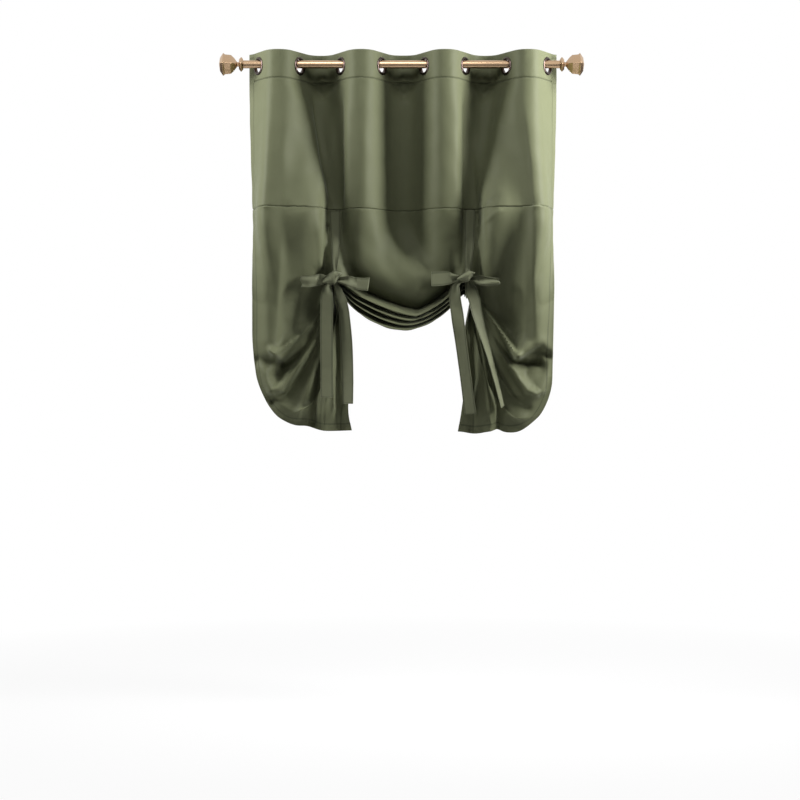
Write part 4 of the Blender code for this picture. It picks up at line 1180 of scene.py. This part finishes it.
# Each tail's left and right edge from the knot down to its end
TAILS = {
    (-1, -1): [
        (-22, 8, -12, 10), (-40, 22, -18, 24), (-47, 40, -13, 40), (-50, 62, -10, 62), (-52, 160, -11, 160),
        (-51, 272, -11, 272), (-50, 375, -10, 375),
    ],
    (-1, 1): [
        (-8, 6, 0, 4), (-10, 22, 6, 14), (-4, 45, 19, 38), (2, 74, 32, 66), (7, 110, 41, 108),
        (13, 234, 52, 234), (18, 336, 54, 336), (19, 396, 53, 396),
    ],
    (1, -1): [
        (-16, 8, -6, 9), (-50, 28, -26, 26), (-58, 61, -23, 61), (-53, 118, -13, 118), (-38, 214, -2, 214),
        (-21, 339, 14, 339), (-10, 436, 27, 433),
    ],
    (1, 1): [
        (0, 8, 8, 5), (-4, 24, 16, 16), (-7, 46, 29, 37), (3, 76, 40, 70), (14, 118, 47, 112),
        (31, 168, 58, 164), (60, 252, 79, 249), (84, 339, 99, 336), (104, 416, 116, 408),
    ],
}
# The band that wraps each knot, its upper and lower edge from left to right
WRAPS = {
    -1: [(-44, -2, -30, 15), (-32, -9, -22, 19), (-16, -20, -8, 18), (-2, -27, 4, 3), (6, -24, 10, -8)],
    1: [(-30, -3, -24, 14), (-18, -10, -12, 18), (-4, -18, 2, 14), (8, -22, 9, 4), (13, -18, 14, -5)],
}
# How far forward of its other edge each tail's left edge is, as a share
TAIL_TURNS = {(-1, -1): 0.3, (-1, 1): -1.0, (1, -1): -1.0, (1, 1): 1.0}


def front_of_cloth(points, x, z, reach):
    """Find how far forward the cloth stands round a place: its least y, or 0 with no cloth."""
    near = np.hypot(points[:, 0] - x, points[:, 2] - z) < reach
    return float(points[near, 1].min()) if near.any() else 0.0


def band(first, second, steps, crease=0.0, folds=2, seed=1, fullness=1.0):
    """Lay a ribbon between two edges, each a run of points; spare width becomes folds."""
    edges = []
    first, second = np.array(first, float), np.array(second, float)
    middle = (first + second) / 2
    lengths = np.concatenate([[0], np.cumsum(np.linalg.norm(np.diff(middle, axis=0), axis=1))])
    at = np.linspace(0, lengths[-1], steps + 1)
    for edge in (first, second):
        edges.append(np.stack([smooth(list(zip(lengths, edge[:, i])), at) for i in range(3)], axis=1))
    span = edges[1] - edges[0]
    width = np.linalg.norm(span, axis=1)
    along = np.gradient((edges[0] + edges[1]) / 2, axis=0)
    normal = np.cross(along, span)
    normal /= np.maximum(np.linalg.norm(normal, axis=1, keepdims=True), 1e-9)
    across = np.linspace(0, 1, 29)
    spare = np.sqrt(np.maximum(TIE_WIDTH ** 2 - (width + 0.003) ** 2, 0))
    depth = np.minimum(spare * 0.42 / folds, 0.0045) * fullness
    wave_form = np.sin(np.pi * folds * across[None, :] + 0.9 * np.sin(at[:, None] * 40 + seed))
    rise = depth[:, None] * wave_form + crease * np.sin(np.pi * across[None, :])
    rise = rise + 0.0004 * ripples(seed, across[None, :] * TIE_WIDTH, at[:, None], 0.036)
    points = edges[0][:, None] + span[:, None] * across[None, :, None] + normal[:, None] * rise[..., None]
    return points, (across[None, :] - 0.5) * TIE_WIDTH, lengths[-1] - at[:, None]


def knot_point(side, across, down, depth):
    """Give a place in the scene from millimetres round a knot."""
    x = side * KNOT_ACROSS[side] + HANG_OFFSET + across * MM
    return (x, depth, KNOT_RISE - KNOT_DROP[side] - down * MM)


def loop_band(side, hand, depth, points):
    """Lay one bow loop: out from the knot, round its end and back behind itself."""
    upper, lower = [], []
    runs = LOOPS[side, hand]
    count = len(runs) - 1
    fronts = []
    for i, (upper_x, upper_z, lower_x, lower_z) in enumerate(runs):
        x, _, z = knot_point(side, (upper_x + lower_x) / 2, (upper_z + lower_z) / 2, 0)
        clear = front_of_cloth(points, x, z, 0.026) - LOOP_DEPTH - LOOP_CLEARANCE if i > 1 else 0
        fronts.append(min(depth, clear))
    fronts = [min(fronts[i:i + 2]) for i in range(count + 1)]
    order = [(i, -1) for i in range(count + 1)] + [(count, 0)] + [(i, 1) for i in range(count, -1, -1)]
    for i, face in order:
        upper_x, upper_z, lower_x, lower_z = runs[i]
        share = i / count
        gape = LOOP_DEPTH * (0.25 + 0.75 * math.sin(math.pi * min(share * 0.62, 1)))
        back = gape * (face + 1) / 2
        end = hand * (1.6 if face == 0 else 0)
        lift = 3.0 * share if face > 0 else 0
        tilt = 0.006 * share
        upper.append(knot_point(side, upper_x + end, upper_z - lift, fronts[i] + back + tilt * 0.2))
        lower.append(knot_point(side, lower_x + end, lower_z - lift, fronts[i] + back - tilt))
    return band(upper, lower, 150, seed=6 + 3 * side + hand)


def tail_band(side, hand, depth, points):
    """Hang one ribbon tail in front of the cloth, turned to the width that shows."""
    left, right = [], []
    for left_x, left_z, right_x, right_z in TAILS[side, hand]:
        seen = math.hypot(right_x - left_x, right_z - left_z) * MM
        turn = TAIL_TURNS[side, hand] * math.sqrt(max(TIE_WIDTH ** 2 - seen ** 2, 0)) / 2
        turn *= float(ease(left_z / 90))
        x, _, z = knot_point(side, (left_x + right_x) / 2, (left_z + right_z) / 2, 0)
        front = depth
        if left_z > 30:
            clear = front_of_cloth(points, x, z, 0.030) - abs(turn) - TAIL_CLEARANCE
            front = min(depth, clear)
        left.append(knot_point(side, left_x, left_z, front - turn))
        right.append(knot_point(side, right_x, right_z, front + turn))
    return band(left, right, 130, seed=5 * side + hand + 9, fullness=0.45)


def strap_band(side, depth, points):
    """Hang the front strap from the seam to the knot, on the cloth behind it."""
    left, right = [], []
    for left_x, left_z, right_x, right_z in STRAPS[side]:
        x, _, z = knot_point(side, (left_x + right_x) / 2, left_z, 0)
        reach = max((right_x - left_x) * 0.5 * MM, 0.008)
        front = front_of_cloth(points, x, z, reach) - STRAP_CLEARANCE
        front += (depth - front) * float(ease((left_z + 30) / 24))
        left.append(knot_point(side, left_x, left_z, front))
        right.append(knot_point(side, right_x, right_z, front))
    return band(left, right, 90, seed=2 + side, fullness=0.12)


def back_band(side, depth):
    """Lead the back strap down behind the cloth, under the bunch and up to the knot."""
    gap = (CLOTH_THICKNESS + TIE_THICKNESS) / 2 + 0.0016
    behind = BUNCH_DEPTH + gap + 0.002
    under = -KNOT_DROP[side] - BUNCH_BELOW - 0.007
    across = side * KNOT_ACROSS[side] + HANG_OFFSET
    route = []
    for fall, half in ((0, 0.017), (0.1, 0.017), (0.2, 0.015)):
        x, y, z = falling(np.array([side * TIE_PLACE]), np.array([fall]))[0, 0]
        route.append((x, y + gap, z, half))
    for y, z in (
        (behind, -KNOT_DROP[side] + 0.06), (behind, -KNOT_DROP[side]), (behind, under + 0.010),
        (behind - 0.008, under), (0.0, under - 0.002), (0.010 - behind, under - 0.002),
        (-behind, under + 0.006), (-behind, under + 0.024), (depth, -KNOT_DROP[side] + KNOT_RISE - 0.008),
    ):
        route.append((across, y, z, 0.007))
    left = [(x - half, y, z) for x, y, z, half in route]
    right = [(x + half, y, z) for x, y, z, half in route]
    return band(left, right, 170, folds=3)


def wrap_band(side, depth):
    """Wrap the band over the knot from one side round its front to the other."""
    upper, lower = [], []
    stations = WRAPS[side]
    for i, (upper_x, upper_z, lower_x, lower_z) in enumerate(stations):
        forward = 0.014 * math.sin(math.pi * (i + 0.35) / (len(stations) - 0.3))
        upper.append(knot_point(side, upper_x, upper_z, depth - forward))
        lower.append(knot_point(side, lower_x, lower_z, depth - forward))
    return band(upper, lower, 60, crease=-0.007, folds=3, seed=5 + side)


def knot_core(side, depth):
    """Make the crumpled core that the wrap closes round."""
    around, along = np.meshgrid(np.linspace(0, 2 * np.pi, 49), np.linspace(-1, 1, 25))
    girth = np.sqrt(np.maximum(1 - along ** 4, 0.02))
    radius = 0.0095 * girth * (1 + 0.10 * np.sin(5 * around + 2.2 * along + side))
    across, y, up = along * 0.017, radius * np.cos(around) * 0.8, radius * np.sin(around)
    slant = math.radians(30)
    x, centre_y, z = knot_point(side, -9 if side < 0 else -4, -1, depth)
    points = stacked(
        across * math.cos(slant) - up * math.sin(slant) + x, y + centre_y - 0.002,
        across * math.sin(slant) + up * math.cos(slant) + z,
    )
    return points, around * 0.004, along * 0.02 + 1


def ties(side, points, material):
    """Make one bow's front and back ribbons and its knot."""
    name = "left" if side < 0 else "right"
    gap = (CLOTH_THICKNESS + TIE_THICKNESS) / 2 + 0.0008
    back_y = -BUNCH_DEPTH - gap - TIE_THICKNESS / 2 - 0.001 - KNOT_HALF_DEPTH / 2
    front_y = back_y - KNOT_HALF_DEPTH - FIT
    pieces = []
    for label, depth, hand in (("front", front_y, -1), ("back", back_y, 1)):
        strap = strap_band(side, depth, points) if label == "front" else back_band(side, depth)
        grids = [strap, loop_band(side, hand, depth, points), tail_band(side, hand, depth, points)]
        piece = add_cloth(f"ribbon_{name}_{label}", grids, material, TIE_THICKNESS)
        pieces.append((piece, [f"{name}_tie_{label}"]))
    middle = (front_y + back_y) / 2
    grids = [knot_core(side, middle), wrap_band(side, front_y)]
    return pieces, add_cloth(f"knot_{name}", grids, material, TIE_THICKNESS)


def main():
    """Make every piece, and say which named solids it stands for."""
    cloth = cloth_finish(
        "sage_cloth", (0.121, 0.129, 0.075), (0.093, 0.101, 0.055),
        rows=[HEADER_STITCH, HEM_STITCH], lanes=[-SIDE_STITCH, SIDE_STITCH],
    )
    ribbon_cloth = cloth_finish(
        "sage_ribbon", (0.144, 0.152, 0.094), (0.110, 0.118, 0.071),
        rows=[RIBBON_END_STITCH], lanes=[-RIBBON_EDGE_STITCH, RIBBON_EDGE_STITCH],
    )
    rod_metal = metal_finish("champagne_bronze", (0.54, 0.375, 0.235), (0.45, 0.305, 0.185), 0.27, 420.0)
    ring_metal = metal_finish("dark_gunmetal", (0.085, 0.062, 0.055), (0.055, 0.040, 0.036), 0.24, 300.0)
    stage()
    top = upper_panel(cloth)
    bottom, points = lower_panel(cloth)
    strip = header_lining(lining_finish())
    pieces = [
        (top, ["upper_panel"], "cloth"), (bottom, ["lower_panel"], "cloth"),
        (strip, ["header_stiffener"], "stiffener"),
    ]
    pieces += metalwork(rod_metal, ring_metal)
    ribbons = []
    for side in (-1, 1):
        made, knot = ties(side, points, ribbon_cloth)
        ribbons += made
        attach(knot, "root")
    for piece, nodes in ribbons:
        pieces.append((piece, nodes, "cloth"))
    for piece, nodes, slot in pieces:
        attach(piece, "root")
        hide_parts(*nodes)


main()
